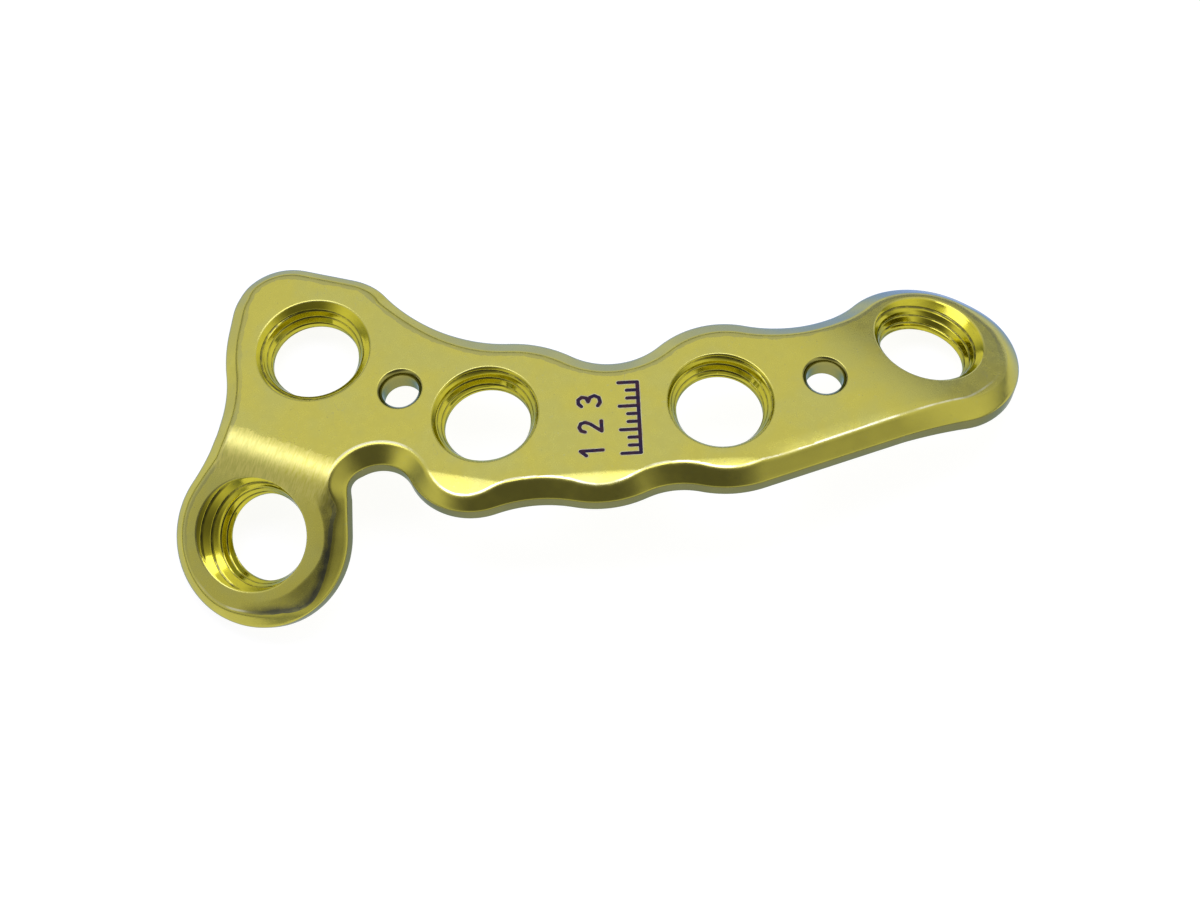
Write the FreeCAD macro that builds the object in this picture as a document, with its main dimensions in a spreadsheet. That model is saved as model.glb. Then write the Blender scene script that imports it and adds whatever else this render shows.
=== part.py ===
import FreeCAD, Part
import Sketcher
import math, os
from FreeCAD import Vector

# Anatomical bone plate, milled from one piece of titanium and folded twice.
# Millimetres. The long way of the plate is X, its width is Y, and the side
# that faces away from the bone is up.  "Flat" positions are measured along
# the top face as if the plate were unfolded, from the middle of the shaft.

doc = FreeCAD.newDocument("bone_plate")
sheet = doc.addObject("Spreadsheet::Sheet", "Sheet")

DIMENSIONS = [
    # section
    ("plate_thickness", 1.35), ("bevel_width", 0.86), ("bevel_depth", 0.63),
    # arch of the shaft, and the two folds
    ("arch_radius", 60.0), ("arch_half_angle", 6.75),
    ("end_fold_radius", 13.0), ("end_fold_angle", 16.8), ("end_fold_azimuth", -39.1), ("end_fold_start", 8.4),
    ("tab_fold_radius", 3.6), ("tab_fold_angle", 32.5), ("tab_fold_azimuth", -28.5), ("tab_fold_start", 7.5),
    ("blank_width", 28.0), ("blank_left", 26.0), ("blank_right", 25.0), ("tab_flange", 11.0), ("end_flange", 16.0),
    # outline lobes, plan position of each centre and its radius
    ("corner_x", -15.624), ("corner_y", 7.48), ("corner_rad", 2.83),
    ("shoulder_x", -13.439), ("shoulder_y", 5.92), ("shoulder_rad", 3.52),
    ("far_three_x", -5.114), ("far_three_y", -2.15), ("far_three_rad", 6.74),
    ("far_four_x", 6.348), ("far_four_y", -0.09), ("far_four_rad", 5.15),
    ("near_four_x", 6.040), ("near_four_y", 0.99), ("near_four_rad", 5.54),
    ("near_mid_x", -0.27), ("near_mid_y", 0.28), ("near_mid_rad", 5.44),
    ("near_three_x", -6.62), ("near_three_y", -1.52), ("near_three_rad", 3.51),
    ("bay_y", -3.31), ("bay_rad", 1.74),
    ("left_x", -9.943), ("left_y", 4.99), ("left_rad", 8.93),
    # lobes of the folded tab and of the folded end, in flat position
    ("tab_x", -18.24), ("tab_y", -4.46), ("tab_rad", 4.59),
    ("end_x", 16.97), ("end_y", 3.77), ("end_rad", 4.89),
    ("tip_x", 16.96), ("tip_rad", 4.61),
    # concave necks between lobes
    ("neck_shoulder_rad", 8.28), ("neck_shaft_rad", 3.72), ("neck_end_rad", 6.27),
    ("neck_near_rad", 4.22), ("neck_mid_rad", 7.6), ("neck_tab_rad", 7.6),
    # screw holes: flat position, rim radius, tilt of the axis and its direction
    ("screw_bore_rad", 2.18), ("screw_throat_rad", 2.53), ("screw_throat_depth", 0.27), ("screw_taper_depth", 0.98),
    ("hole_one_x", -14.45), ("hole_one_y", 5.15), ("hole_one_rim", 2.93),
    ("hole_two_x", -18.17), ("hole_two_y", -4.48), ("hole_two_rim", 2.85), ("hole_two_tilt", 8.4), ("hole_two_tilt_to", 158.5),
    ("hole_three_x", -5.93), ("hole_three_y", 0.20), ("hole_three_rim", 2.78),
    ("hole_four_x", 5.92), ("hole_four_y", 0.16), ("hole_four_rim", 2.75),
    ("hole_five_x", 16.71), ("hole_five_y", 4.40), ("hole_five_rim", 2.86), ("hole_five_tilt", 3.5), ("hole_five_tilt_to", 60.0),
    # shallow facets milled on the lobes: slope below the top face
    ("facet_slope", 12.5),
    # how the finished plate lies at rest on its three lowest points
    ("rest_pitch", -2.7349), ("rest_roll", -17.5237),
    # wire holes
    ("wire_bore_rad", 0.945), ("wire_rim_rad", 1.16),
    ("wire_one_x", -10.16), ("wire_one_y", 2.29), ("wire_two_x", 11.25), ("wire_two_y", 1.63),
]
for row, (alias, value) in enumerate(DIMENSIONS, start=1):
    sheet.set("A%d" % row, alias.replace("_", " "))
    sheet.set("B%d" % row, repr(value))
    sheet.setAlias("B%d" % row, alias)
doc.recompute()


def dim(alias):
    return float(sheet.get(alias))


def rad(alias):
    return math.radians(dim(alias))


# ---------------------------------------------------------------- frames
UP = Vector(0, 0, 1)


def frame(origin, xdir, ydir):
    z = xdir.cross(ydir)
    return FreeCAD.Placement(FreeCAD.Matrix(
        xdir.x, ydir.x, z.x, origin.x,
        xdir.y, ydir.y, z.y, origin.y,
        xdir.z, ydir.z, z.z, origin.z, 0, 0, 0, 1))


T = dim("plate_thickness")
R_ARCH, A_ARCH = dim("arch_radius"), rad("arch_half_angle")
ARC_END = R_ARCH * A_ARCH          # flat position where the arch ends
Y_DIR = Vector(0, 1, 0)


def shaft_frame(side):
    """Plane of the straight shaft beyond the arch; its x and y are flat positions."""
    xdir = Vector(math.cos(A_ARCH), 0, -side * math.sin(A_ARCH))
    end = Vector(side * R_ARCH * math.sin(A_ARCH), 0, R_ARCH * math.cos(A_ARCH) - R_ARCH)
    return frame(end - xdir * (side * ARC_END), xdir, Y_DIR)


def plan_x(u):
    if abs(u) <= ARC_END:
        return R_ARCH * math.sin(u / R_ARCH)
    return math.copysign(R_ARCH * math.sin(A_ARCH) + (abs(u) - ARC_END) * math.cos(A_ARCH), u)


def flat_u(x):
    if abs(x) <= R_ARCH * math.sin(A_ARCH):
        return R_ARCH * math.asin(x / R_ARCH)
    return math.copysign(ARC_END + (abs(x) - R_ARCH * math.sin(A_ARCH)) / math.cos(A_ARCH), x)


class Fold:
    """A bend of the plate about a line of its shaft plane."""

    def __init__(self, name, base, toward):
        self.base = base
        self.radius, self.angle, self.start = dim(name + "_fold_radius"), rad(name + "_fold_angle"), dim(name + "_fold_start")
        az = rad(name + "_fold_azimuth")
        self.d = Vector(math.cos(az), math.sin(az), 0)                     # along the fold line
        self.m = Vector(-math.sin(az) * toward, math.cos(az) * toward, 0)  # across it, to the folded side
        self.length = self.radius * self.angle
        self.mid = self.start + self.length / 2

    def lift(self, u, v):
        """Body position of a flat position on the top face."""
        s, t = u * self.m.x + v * self.m.y, u * self.d.x + v * self.d.y
        a = min(max(s - self.start, 0.0), self.length) / self.radius
        extra = max(s - self.start - self.length, 0.0)
        if s > self.start:
            s2 = self.start + self.radius * math.sin(a) + extra * math.cos(a)
            z = self.radius * (math.cos(a) - 1) - extra * math.sin(a)
        else:
            s2, z = s, 0.0
        return self.base.multVec(self.d * t + self.m * s2 + UP * z)

    def folded_frame(self):
        """Plane of the folded part; its x and y are flat positions."""
        mf = self.m * math.cos(self.angle) - UP * math.sin(self.angle)
        origin = self.m * (self.start + self.radius * math.sin(self.angle)) \
            + UP * (self.radius * (math.cos(self.angle) - 1)) - mf * (self.start + self.length)
        rot = self.base.Rotation
        xdir = self.d * self.d.x + mf * self.m.x
        ydir = self.d * self.d.y + mf * self.m.y
        return frame(self.base.multVec(origin), rot.multVec(xdir), rot.multVec(ydir))

    def profile_frame(self, t):
        """Plane square to the fold line: x across the fold, y up."""
        rot = self.base.Rotation
        return frame(self.base.multVec(self.d * t), rot.multVec(self.m), rot.multVec(UP))


HEAD, SHAFT = shaft_frame(-1), shaft_frame(1)
tab_fold, end_fold = Fold("tab", HEAD, -1), Fold("end", SHAFT, 1)
TAB, END = tab_fold.folded_frame(), end_fold.folded_frame()

# ------------------------------------------------------------------ body
body = doc.addObject("PartDesign::Body", "bone_plate")
body.Label = "bone_plate"
planes = {f.Role: f for f in body.Origin.OriginFeatures}


def new_sketch(name, offset=None, plane="XY_Plane"):
    sk = body.newObject("Sketcher::SketchObject", name)
    sk.AttachmentSupport = [(planes[plane], "")]
    sk.MapMode = "FlatFace"
    if offset is not None:
        sk.AttachmentOffset = offset
    return sk


def bound(sk, constraint, expression):
    i = sk.addConstraint(constraint)
    sk.renameConstraint(i, "size_%d" % i)
    sk.setExpression("Constraints.size_%d" % i, expression)
    return i


class Path:
    """A closed wire of arcs and lines, drawn end to end in one direction."""

    def __init__(self, sk):
        self.sk, self.ends = sk, []

    def line(self, p, q):
        g = self.sk.addGeometry(Part.LineSegment(Vector(p[0], p[1], 0), Vector(q[0], q[1], 0)), False)
        self.ends.append((g, 1, 2))
        return g

    def arc(self, c, r, p, q, turn):
        a, b = math.atan2(p[1] - c[1], p[0] - c[0]), math.atan2(q[1] - c[1], q[0] - c[0])
        if turn < 0:
            a, b = b, a
        if b <= a:
            b += 2 * math.pi
        g = self.sk.addGeometry(Part.ArcOfCircle(Part.Circle(Vector(c[0], c[1], 0), UP, r), a, b), False)
        self.ends.append((g, 1, 2) if turn > 0 else (g, 2, 1))
        return g

    def join(self, i, kind):
        (g, _, e), (h, s, _) = self.ends[i], self.ends[(i + 1) % len(self.ends)]
        self.sk.addConstraint(Sketcher.Constraint(kind, g, e, h, s))

    def pin(self, g, pos, p):
        self.sk.addConstraint(Sketcher.Constraint("DistanceX", -1, 1, g, pos, p[0]))
        self.sk.addConstraint(Sketcher.Constraint("DistanceY", -1, 1, g, pos, p[1]))

    def circle_sizes(self, g, r_expr, x_expr=None, y_expr=None, c=None):
        geo = self.sk.Geometry[g]
        bound(self.sk, Sketcher.Constraint("Radius", g, geo.Radius), r_expr)
        if x_expr:
            bound(self.sk, Sketcher.Constraint("DistanceX", -1, 1, g, 3, geo.Center.x), x_expr)
        if y_expr:
            bound(self.sk, Sketcher.Constraint("DistanceY", -1, 1, g, 3, geo.Center.y), y_expr)


# plane geometry of the outline -------------------------------------------
def sub(a, b): return (a[0] - b[0], a[1] - b[1])
def add(a, b, k=1.0): return (a[0] + k * b[0], a[1] + k * b[1])
def dot(a, b): return a[0] * b[0] + a[1] * b[1]
def size(a): return math.hypot(a[0], a[1])


def two_circles(a, ra, b, rb, side):
    """Point at ra from a and rb from b, on the left (side 1) or right of a to b."""
    d = size(sub(b, a)); u = (sub(b, a)[0] / d, sub(b, a)[1] / d)
    x = (ra * ra - rb * rb + d * d) / (2 * d)
    k = math.sqrt(max(ra * ra - x * x, 0.0)) * side
    return (a[0] + u[0] * x - u[1] * k, a[1] + u[1] * x + u[0] * k)


def tangent_line(a, ra, b, rb):
    """Touching points of the line left of a to b; a negative radius lies across the line."""
    d = size(sub(b, a)); u = (sub(b, a)[0] / d, sub(b, a)[1] / d)
    k = (ra - rb) / d; c = math.sqrt(1 - k * k)
    n = (-u[1] * c + u[0] * k, u[0] * c + u[1] * k)
    return add(a, n, ra), add(b, n, rb)


def toward(a, b, r):
    return add(a, sub(b, a), r / size(sub(b, a)))


def lobe(name):
    return (dim(name + "_x"), dim(name + "_y")), dim(name + "_rad")


def flat_lobe(name):
    (x, y), r = lobe(name)
    return (flat_u(x), y), r


def fold_cut(fold, c, r, near):
    """Point of a circle on the middle line of a fold, the one nearest to a point."""
    mx, dx = (fold.m.x, fold.m.y), (fold.d.x, fold.d.y)
    h = fold.mid - dot(c, mx)
    k = math.sqrt(r * r - h * h)
    pts = [add(add(c, mx, h), dx, k), add(add(c, mx, h), dx, -k)]
    return min(pts, key=lambda p: size(sub(p, near)))


tab_c, tab_r = lobe("tab")
end_c, end_r = lobe("end")
# the tip arc continues the end lobe with a slightly smaller radius
tip_r = dim("tip_rad")
tip_c = (dim("tip_x"), end_c[1] + math.sqrt((end_r - tip_r) ** 2 - (dim("tip_x") - end_c[0]) ** 2))
bay_r, bay_v = dim("bay_rad"), dim("bay_y")
# where the outline crosses the middle of each fold, in flat position
left_fc, left_fr = flat_lobe("left")
neck_c = two_circles(tab_c, tab_r + dim("neck_tab_rad"), left_fc, left_fr + dim("neck_tab_rad"), 1)
cross_left = fold_cut(tab_fold, neck_c, dim("neck_tab_rad"), (-19.7, 1.0))
n3_c, n3_r = lobe("near_three")
bay_c = (flat_u(n3_c[0] - math.sqrt((n3_r + bay_r) ** 2 - (n3_c[1] - bay_v) ** 2)), bay_v)
cross_bay = fold_cut(tab_fold, bay_c, bay_r, (-13.3, -2.5))
four_fc, four_fr = flat_lobe("far_four")
neck_c = two_circles(four_fc, four_fr + dim("neck_end_rad"), end_c, end_r + dim("neck_end_rad"), 1)
cross_far = fold_cut(end_fold, neck_c, dim("neck_end_rad"), (10.1, 5.0))
near_fc, near_fr = flat_lobe("near_four")
p, q = tangent_line(tip_c, tip_r, near_fc, near_fr)
k = (end_fold.mid - dot(p, (end_fold.m.x, end_fold.m.y))) / dot(sub(q, p), (end_fold.m.x, end_fold.m.y))
cross_near = add(p, sub(q, p), k)


def seen_in(placement, fold, uv):
    p = placement.inverse().multVec(fold.lift(*uv))
    return (p.x, p.y)


PLAN = FreeCAD.Placement()
A_plan, A_tab = seen_in(PLAN, tab_fold, cross_left), seen_in(TAB, tab_fold, cross_left)
D_plan, D_tab = seen_in(PLAN, tab_fold, cross_bay), seen_in(TAB, tab_fold, cross_bay)
B_plan, B_end = seen_in(PLAN, end_fold, cross_far), seen_in(END, end_fold, cross_far)
C_plan, C_end = seen_in(PLAN, end_fold, cross_near), seen_in(END, end_fold, cross_near)

# ------------------------------------------------- the sheet of the plate
# Arched shaft and head: one slab of even thickness.
sk = new_sketch("shaft_profile", plane="XZ_Plane")
cs, sn = math.cos(A_ARCH), math.sin(A_ARCH)
rb = R_ARCH - T
le, ri = (dim("blank_left") - R_ARCH * sn) / cs, (dim("blank_right") - R_ARCH * sn) / cs
top_l, top_r = (-R_ARCH * sn, R_ARCH * cs - R_ARCH), (R_ARCH * sn, R_ARCH * cs - R_ARCH)
bot_l, bot_r = (-rb * sn, rb * cs - R_ARCH), (rb * sn, rb * cs - R_ARCH)
end_tl, end_tr = (top_l[0] - le * cs, top_l[1] - le * sn), (top_r[0] + ri * cs, top_r[1] - ri * sn)
end_bl, end_br = (bot_l[0] - le * cs, bot_l[1] - le * sn), (bot_r[0] + ri * cs, bot_r[1] - ri * sn)
w = Path(sk)
w.line(end_tl, top_l)
g_top = w.arc((0, -R_ARCH), R_ARCH, top_l, top_r, -1)
w.line(top_r, end_tr)
w.line(end_tr, end_br)
w.line(end_br, bot_r)
g_bot = w.arc((0, -R_ARCH), rb, bot_r, bot_l, 1)
w.line(bot_l, end_bl)
w.line(end_bl, end_tl)
for i, kind in enumerate(["Tangent", "Tangent", "Coincident", "Coincident", "Tangent", "Tangent", "Coincident", "Coincident"]):
    w.join(i, kind)
sk.addConstraint(Sketcher.Constraint("Coincident", g_top, 3, g_bot, 3))
sk.addConstraint(Sketcher.Constraint("PointOnObject", g_top, 3, -2))
bound(sk, Sketcher.Constraint("Radius", g_top, R_ARCH), "Sheet.arch_radius")
bound(sk, Sketcher.Constraint("Radius", g_bot, rb), "Sheet.arch_radius - Sheet.plate_thickness")
bound(sk, Sketcher.Constraint("DistanceY", g_top, 3, -1, 1, R_ARCH), "Sheet.arch_radius")
bound(sk, Sketcher.Constraint("Angle", 0, A_ARCH), "Sheet.arch_half_angle * 1 deg")
bound(sk, Sketcher.Constraint("Angle", 2, -A_ARCH), "-Sheet.arch_half_angle * 1 deg")
bound(sk, Sketcher.Constraint("DistanceX", 0, 1, -1, 1, dim("blank_left")), "Sheet.blank_left")
bound(sk, Sketcher.Constraint("DistanceX", -1, 1, 2, 2, dim("blank_right")), "Sheet.blank_right")
sk.addConstraint(Sketcher.Constraint("Perpendicular", 3, 2))
sk.addConstraint(Sketcher.Constraint("Perpendicular", 7, 0))
pad = body.newObject("PartDesign::Pad", "shaft_slab")
pad.Profile = sk
pad.SideType = "Symmetric"
pad.setExpression("Length", "Sheet.blank_width")
doc.recompute()


def polygon(sk, pts):
    w = Path(sk)
    n = len(pts)
    for i in range(n):
        w.line(pts[i], pts[(i + 1) % n])
    for i in range(n):
        w.join(i, "Coincident")
    for i in range(n):
        w.pin(w.ends[i][0], 1, pts[i])
    return w


def through(name, sk):
    cut = body.newObject("PartDesign::Pocket", name)
    cut.Profile = sk
    cut.Type = "Length"
    cut.SideType = "Symmetric"
    cut.Length = 48.0
    doc.recompute()
    return cut


def in_fold(fold, t, s):
    return (fold.d.x * t + fold.m.x * s, fold.d.y * t + fold.m.y * s)


# The slab stops at the line where each fold starts ...
sk = new_sketch("tab_clearance", HEAD)
polygon(sk, [in_fold(tab_fold, t, s) for t, s in
             [(-8.5, tab_fold.start), (-8.5, tab_fold.start + 24), (-34, tab_fold.start + 24), (-34, tab_fold.start)]])
through("slab_without_tab", sk)
sk = new_sketch("end_clearance", SHAFT)
polygon(sk, [in_fold(end_fold, t, s) for t, s in
             [(-12, end_fold.start), (34, end_fold.start), (34, end_fold.start + 24), (-12, end_fold.start + 24)]])
through("slab_without_end", sk)


def flange(name, fold, t_from, t_to, length_alias, radius_alias, angle_alias, start_alias):
    """A bend of even thickness and the flat beyond it, drawn across the fold line."""
    sk = new_sketch(name + "_profile", fold.profile_frame((t_from + t_to) / 2))
    R, A, s0, L = fold.radius, fold.angle, fold.start, dim(length_alias)
    c, ca, sa = (s0, -R), math.cos(A), math.sin(A)
    p0, p1 = (s0, 0.0), (s0 + R * sa, -R + R * ca)
    p2 = (p1[0] + L * ca, p1[1] - L * sa)
    p3 = (p2[0] - T * sa, p2[1] - T * ca)
    p4 = (s0 + (R - T) * sa, -R + (R - T) * ca)
    p5 = (s0, -T)
    w = Path(sk)
    a_out = w.arc(c, R, p0, p1, -1)
    l_out = w.line(p1, p2)
    w.line(p2, p3)
    l_in = w.line(p3, p4)
    a_in = w.arc(c, R - T, p4, p5, 1)
    l_up = w.line(p5, p0)
    for i, kind in enumerate(["Tangent", "Coincident", "Coincident", "Tangent", "Coincident", "Coincident"]):
        w.join(i, kind)
    sk.addConstraint(Sketcher.Constraint("Coincident", a_out, 3, a_in, 3))
    sk.addConstraint(Sketcher.Constraint("Vertical", l_up))
    sk.addConstraint(Sketcher.Constraint("Perpendicular", 2, l_out))
    bound(sk, Sketcher.Constraint("Radius", a_out, R), "Sheet." + radius_alias)
    bound(sk, Sketcher.Constraint("Radius", a_in, R - T), "Sheet.%s - Sheet.plate_thickness" % radius_alias)
    bound(sk, Sketcher.Constraint("DistanceX", -1, 1, a_out, 3, s0), "Sheet." + start_alias)
    bound(sk, Sketcher.Constraint("DistanceY", a_out, 3, -1, 1, R), "Sheet." + radius_alias)
    bound(sk, Sketcher.Constraint("Angle", l_out, -A), "-Sheet.%s * 1 deg" % angle_alias)
    bound(sk, Sketcher.Constraint("Distance", l_out, L), "Sheet." + length_alias)
    pad = body.newObject("PartDesign::Pad", name + "_flange")
    pad.Profile = sk
    pad.SideType = "Symmetric"
    pad.Length = t_to - t_from
    doc.recompute()
    return pad


flange("tab", tab_fold, -19.5, -8.5, "tab_flange", "tab_fold_radius", "tab_fold_angle", "tab_fold_start")
flange("end", end_fold, 1.0, 18.0, "end_flange", "end_fold_radius", "end_fold_angle", "end_fold_start")
# ... and each zone is milled to the outline square to its own face.
def outline_path(sk, items, start, closing):
    """Smooth chain of arcs and lines from start, closed through outer points.

    items: ("arc", centre, radius, turn, end, expressions) or ("line", end).
    """
    w, p = Path(sk), start
    for item in items:
        if item[0] == "line":
            w.line(p, item[1])
            p = item[1]
        else:
            _, c, r, turn, q, (r_expr, x_expr, y_expr) = item
            g = w.arc(c, r, p, q, turn)
            p = q
            bound(sk, Sketcher.Constraint("Radius", g, r), r_expr)
            if x_expr:
                bound(sk, Sketcher.Constraint("DistanceX", -1, 1, g, 3, c[0]), x_expr)
            if y_expr:
                bound(sk, Sketcher.Constraint("DistanceY", -1, 1, g, 3, c[1]), y_expr)
    smooth = len(w.ends)
    for q in closing + [start]:
        w.line(p, q)
        p = q
    n = len(w.ends)
    for i in range(n):
        w.join(i, "Tangent" if i < smooth - 1 else "Coincident")
    g, s, _ = w.ends[0]
    w.pin(g, s, start)
    for i in range(smooth, n):
        g, s, _ = w.ends[i]
        w.pin(g, s, ([None] * smooth + [items[-1][4] if items[-1][0] == "arc" else items[-1][1]] + closing)[i])
    return w


def ex(name):
    return ("Sheet.%s_rad" % name, "Sheet.%s_x" % name, "Sheet.%s_y" % name)


def nk(name):
    return ("Sheet.%s_rad" % name, None, None)


def aside(fold, p, along, across, k):
    return (p[0] + k * (along * fold.d.x + across * fold.m.x), p[1] + k * (along * fold.d.y + across * fold.m.y))


SLANT = 0.15
cut_sketches = []

# far side of the head and shaft
left_c, left_r = lobe("left"); corner_c, corner_r = lobe("corner"); sh_c, sh_r = lobe("shoulder")
f3_c, f3_r = lobe("far_three"); f4_c, f4_r = lobe("far_four")
rt, rs, rm, re = dim("neck_tab_rad"), dim("neck_shoulder_rad"), dim("neck_shaft_rad"), dim("neck_end_rad")
n_tab = two_circles(A_plan, rt, left_c, left_r + rt, 1)
l1, c1 = tangent_line(left_c, left_r, corner_c, corner_r)
c2, s1 = tangent_line(corner_c, corner_r, sh_c, sh_r)
n_sh = two_circles(sh_c, sh_r + rs, f3_c, f3_r + rs, 1)
n_mid = two_circles(f3_c, f3_r + rm, f4_c, f4_r + rm, 1)
n_end = two_circles(f4_c, f4_r + re, B_plan, re, 1)
sk = new_sketch("far_outline")
far = [
    ("arc", n_tab, rt, 1, toward(left_c, n_tab, left_r), nk("neck_tab")),
    ("arc", left_c, left_r, -1, l1, ex("left")),
    ("line", c1),
    ("arc", corner_c, corner_r, -1, c2, ex("corner")),
    ("line", s1),
    ("arc", sh_c, sh_r, -1, toward(sh_c, n_sh, sh_r), ex("shoulder")),
    ("arc", n_sh, rs, 1, toward(f3_c, n_sh, f3_r), nk("neck_shoulder")),
    ("arc", f3_c, f3_r, -1, toward(f3_c, n_mid, f3_r), ex("far_three")),
    ("arc", n_mid, rm, 1, toward(f4_c, n_mid, f4_r), nk("neck_shaft")),
    ("arc", f4_c, f4_r, -1, toward(f4_c, n_end, f4_r), ex("far_four")),
    ("arc", n_end, re, 1, B_plan, nk("neck_end")),
]
outline_path(sk, far, A_plan, [aside(end_fold, B_plan, -1, SLANT, 16), (-31.0, 17.0), aside(tab_fold, A_plan, -1, SLANT, 12)])
through("far_side", sk)

# near side of the shaft, with the bay beside the tab
n4_c, n4_r = lobe("near_four"); nm_c, nm_r = lobe("near_mid")
rn, rd = dim("neck_near_rad"), dim("neck_mid_rad")
_, q1 = tangent_line(C_plan, 0.0, n4_c, n4_r)
n_a = two_circles(n4_c, n4_r + rn, nm_c, nm_r + rn, 1)
n_b = two_circles(nm_c, nm_r + rd, n3_c, n3_r + rd, 1)
bay_plan = two_circles(n3_c, n3_r + bay_r, D_plan, bay_r, 1)
sk = new_sketch("near_outline")
near = [
    ("line", q1),
    ("arc", n4_c, n4_r, -1, toward(n4_c, n_a, n4_r), ex("near_four")),
    ("arc", n_a, rn, 1, toward(nm_c, n_a, nm_r), nk("neck_near")),
    ("arc", nm_c, nm_r, -1, toward(nm_c, n_b, nm_r), ex("near_mid")),
    ("arc", n_b, rd, 1, toward(n3_c, n_b, n3_r), nk("neck_mid")),
    ("arc", n3_c, n3_r, -1, toward(n3_c, bay_plan, n3_r), ex("near_three")),
    ("arc", bay_plan, bay_r, 1, D_plan, ("Sheet.bay_rad", None, None)),
]
k = (-12.4 - D_plan[0]) / (tab_fold.d.x + SLANT * tab_fold.m.x)
outline_path(sk, near, C_plan, [aside(tab_fold, D_plan, 1, SLANT, k), (-12.4, -18.0), (30.0, -18.0),
                                aside(end_fold, C_plan, 1, SLANT, 14)])
through("near_side", sk)

# the tab, square to its folded face
bay_tab = (D_tab[0] + math.sqrt(bay_r ** 2 - (D_tab[1] - bay_v) ** 2), bay_v)
t1, t2 = tangent_line(bay_tab, -bay_r, tab_c, tab_r)
n_t = two_circles(tab_c, tab_r + rt, A_tab, rt, 1)
sk = new_sketch("tab_outline", TAB)
tab = [
    ("arc", bay_tab, bay_r, 1, t1, ("Sheet.bay_rad", None, "Sheet.bay_y")),
    ("line", t2),
    ("arc", tab_c, tab_r, -1, toward(tab_c, n_t, tab_r), ex("tab")),
    ("arc", n_t, rt, 1, A_tab, nk("neck_tab")),
]
k = (-11.2 - D_tab[0]) / (tab_fold.d.x - SLANT * tab_fold.m.x)
outline_path(sk, tab, D_tab, [aside(tab_fold, A_tab, -1, -SLANT, 14), (-40.0, -30.0), (-11.2, -30.0),
                              aside(tab_fold, D_tab, 1, -SLANT, k)])
through("tab_side", sk)

# the folded end, square to its face
n_e = two_circles(B_end, re, end_c, end_r + re, 1)
e1, q4 = tangent_line(tip_c, tip_r, seen_in(END, end_fold, cross_near), 0.0)
sk = new_sketch("end_outline", END)
end = [
    ("arc", n_e, re, 1, toward(end_c, n_e, end_r), nk("neck_end")),
    ("arc", end_c, end_r, -1, toward(end_c, tip_c, end_r), ex("end")),
    ("arc", tip_c, tip_r, -1, e1, ("Sheet.tip_rad", "Sheet.tip_x", None)),
    ("line", C_end),
]
outline_path(sk, end, B_end, [aside(end_fold, C_end, 1, -SLANT, 20), (38.0, -15.7), (38.0, 26.0),
                              (-4.0, 26.0), aside(end_fold, B_end, -1, -SLANT, 14)])
through("end_side", sk)
outlined = body.Shape


# ---------------------------------------------------- facets on the lobes
def surface_frame(u, v):
    """Folded face around a flat position: placement whose z is the face's normal there."""
    uv = (u, v)
    for fold, flag in ((tab_fold, u < -11), (end_fold, u > 9)):
        s, t = u * fold.m.x + v * fold.m.y, u * fold.d.x + v * fold.d.y
        if flag and s > fold.start and (fold is end_fold or t < -8.5):
            a = min((s - fold.start) / fold.radius, fold.angle)
            mf = fold.m * math.cos(a) - UP * math.sin(a)
            rot = fold.base.Rotation
            return frame(fold.lift(*uv), rot.multVec(fold.d * fold.d.x + mf * fold.m.x),
                         rot.multVec(fold.d * fold.d.y + mf * fold.m.y))
    a = max(-A_ARCH, min(A_ARCH, u / R_ARCH))
    x, z = plan_x(u), (R_ARCH * (math.cos(a) - 1)) - max(abs(u) - ARC_END, 0.0) * math.sin(A_ARCH)
    return frame(Vector(x, v, z), Vector(math.cos(a), 0, -math.sin(a)), Y_DIR)


def facet(name, p, q, before, after):
    """Sloping facet outside the crease p to q (outside is left of p to q)."""
    mid = ((p[0] + q[0]) / 2, (p[1] + q[1]) / 2)
    f = surface_frame(*mid)
    P, Q = surface_frame(*p).Base, surface_frame(*q).Base
    along = (Q - P).normalize()
    up = f.Rotation.multVec(UP)
    out = up.cross(along).normalize()
    up = along.cross(out)
    centre = (P + Q) * 0.5 + along * ((after - before) / 2)
    sk = new_sketch(name + "_profile", frame(centre, out, up))
    a = rad("facet_slope")
    pts = [(-0.5, 0.5 * math.tan(a)), (3.0, -3.0 * math.tan(a)), (3.0, 1.5), (-0.5, 1.5)]
    w = Path(sk)
    for i in range(4):
        w.line(pts[i], pts[(i + 1) % 4])
    for i in range(4):
        w.join(i, "Coincident")
    bound(sk, Sketcher.Constraint("Angle", 0, -a), "-Sheet.facet_slope * 1 deg")
    sk.addConstraint(Sketcher.Constraint("PointOnObject", -1, 1, 0))
    sk.addConstraint(Sketcher.Constraint("DistanceX", -1, 1, 0, 2, 3.0))
    w.pin(2, 1, pts[2])
    w.pin(3, 1, pts[3])
    sk.addConstraint(Sketcher.Constraint("DistanceX", 0, 1, -1, 1, 0.5))
    cut = body.newObject("PartDesign::Pocket", name)
    cut.Profile = sk
    cut.Type = "Length"
    cut.SideType = "Symmetric"
    cut.Length = (Q - P).Length + before + after
    doc.recompute()


facet("facet_three", (-4.87, -3.96), (-9.10, -2.62), 1.5, 1.3)
facet("facet_mid", (1.92, -3.70), (-3.34, -3.70), 1.5, 0.8)
facet("facet_four", (8.72, -3.21), (3.30, -3.42), 2.0, 0.0)
c = (tab_c[0] + 3.38 * math.cos(math.radians(-38)), tab_c[1] + 3.38 * math.sin(math.radians(-38)))
e = (math.cos(math.radians(-38 - 90)), math.sin(math.radians(-38 - 90)))
facet("facet_tab", add(c, e, -1.6), add(c, e, 1.6), 0.6, 0.8)
print("facets", body.Shape.isValid(), round(outlined.Volume, 3), round(body.Shape.Volume, 3))


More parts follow.
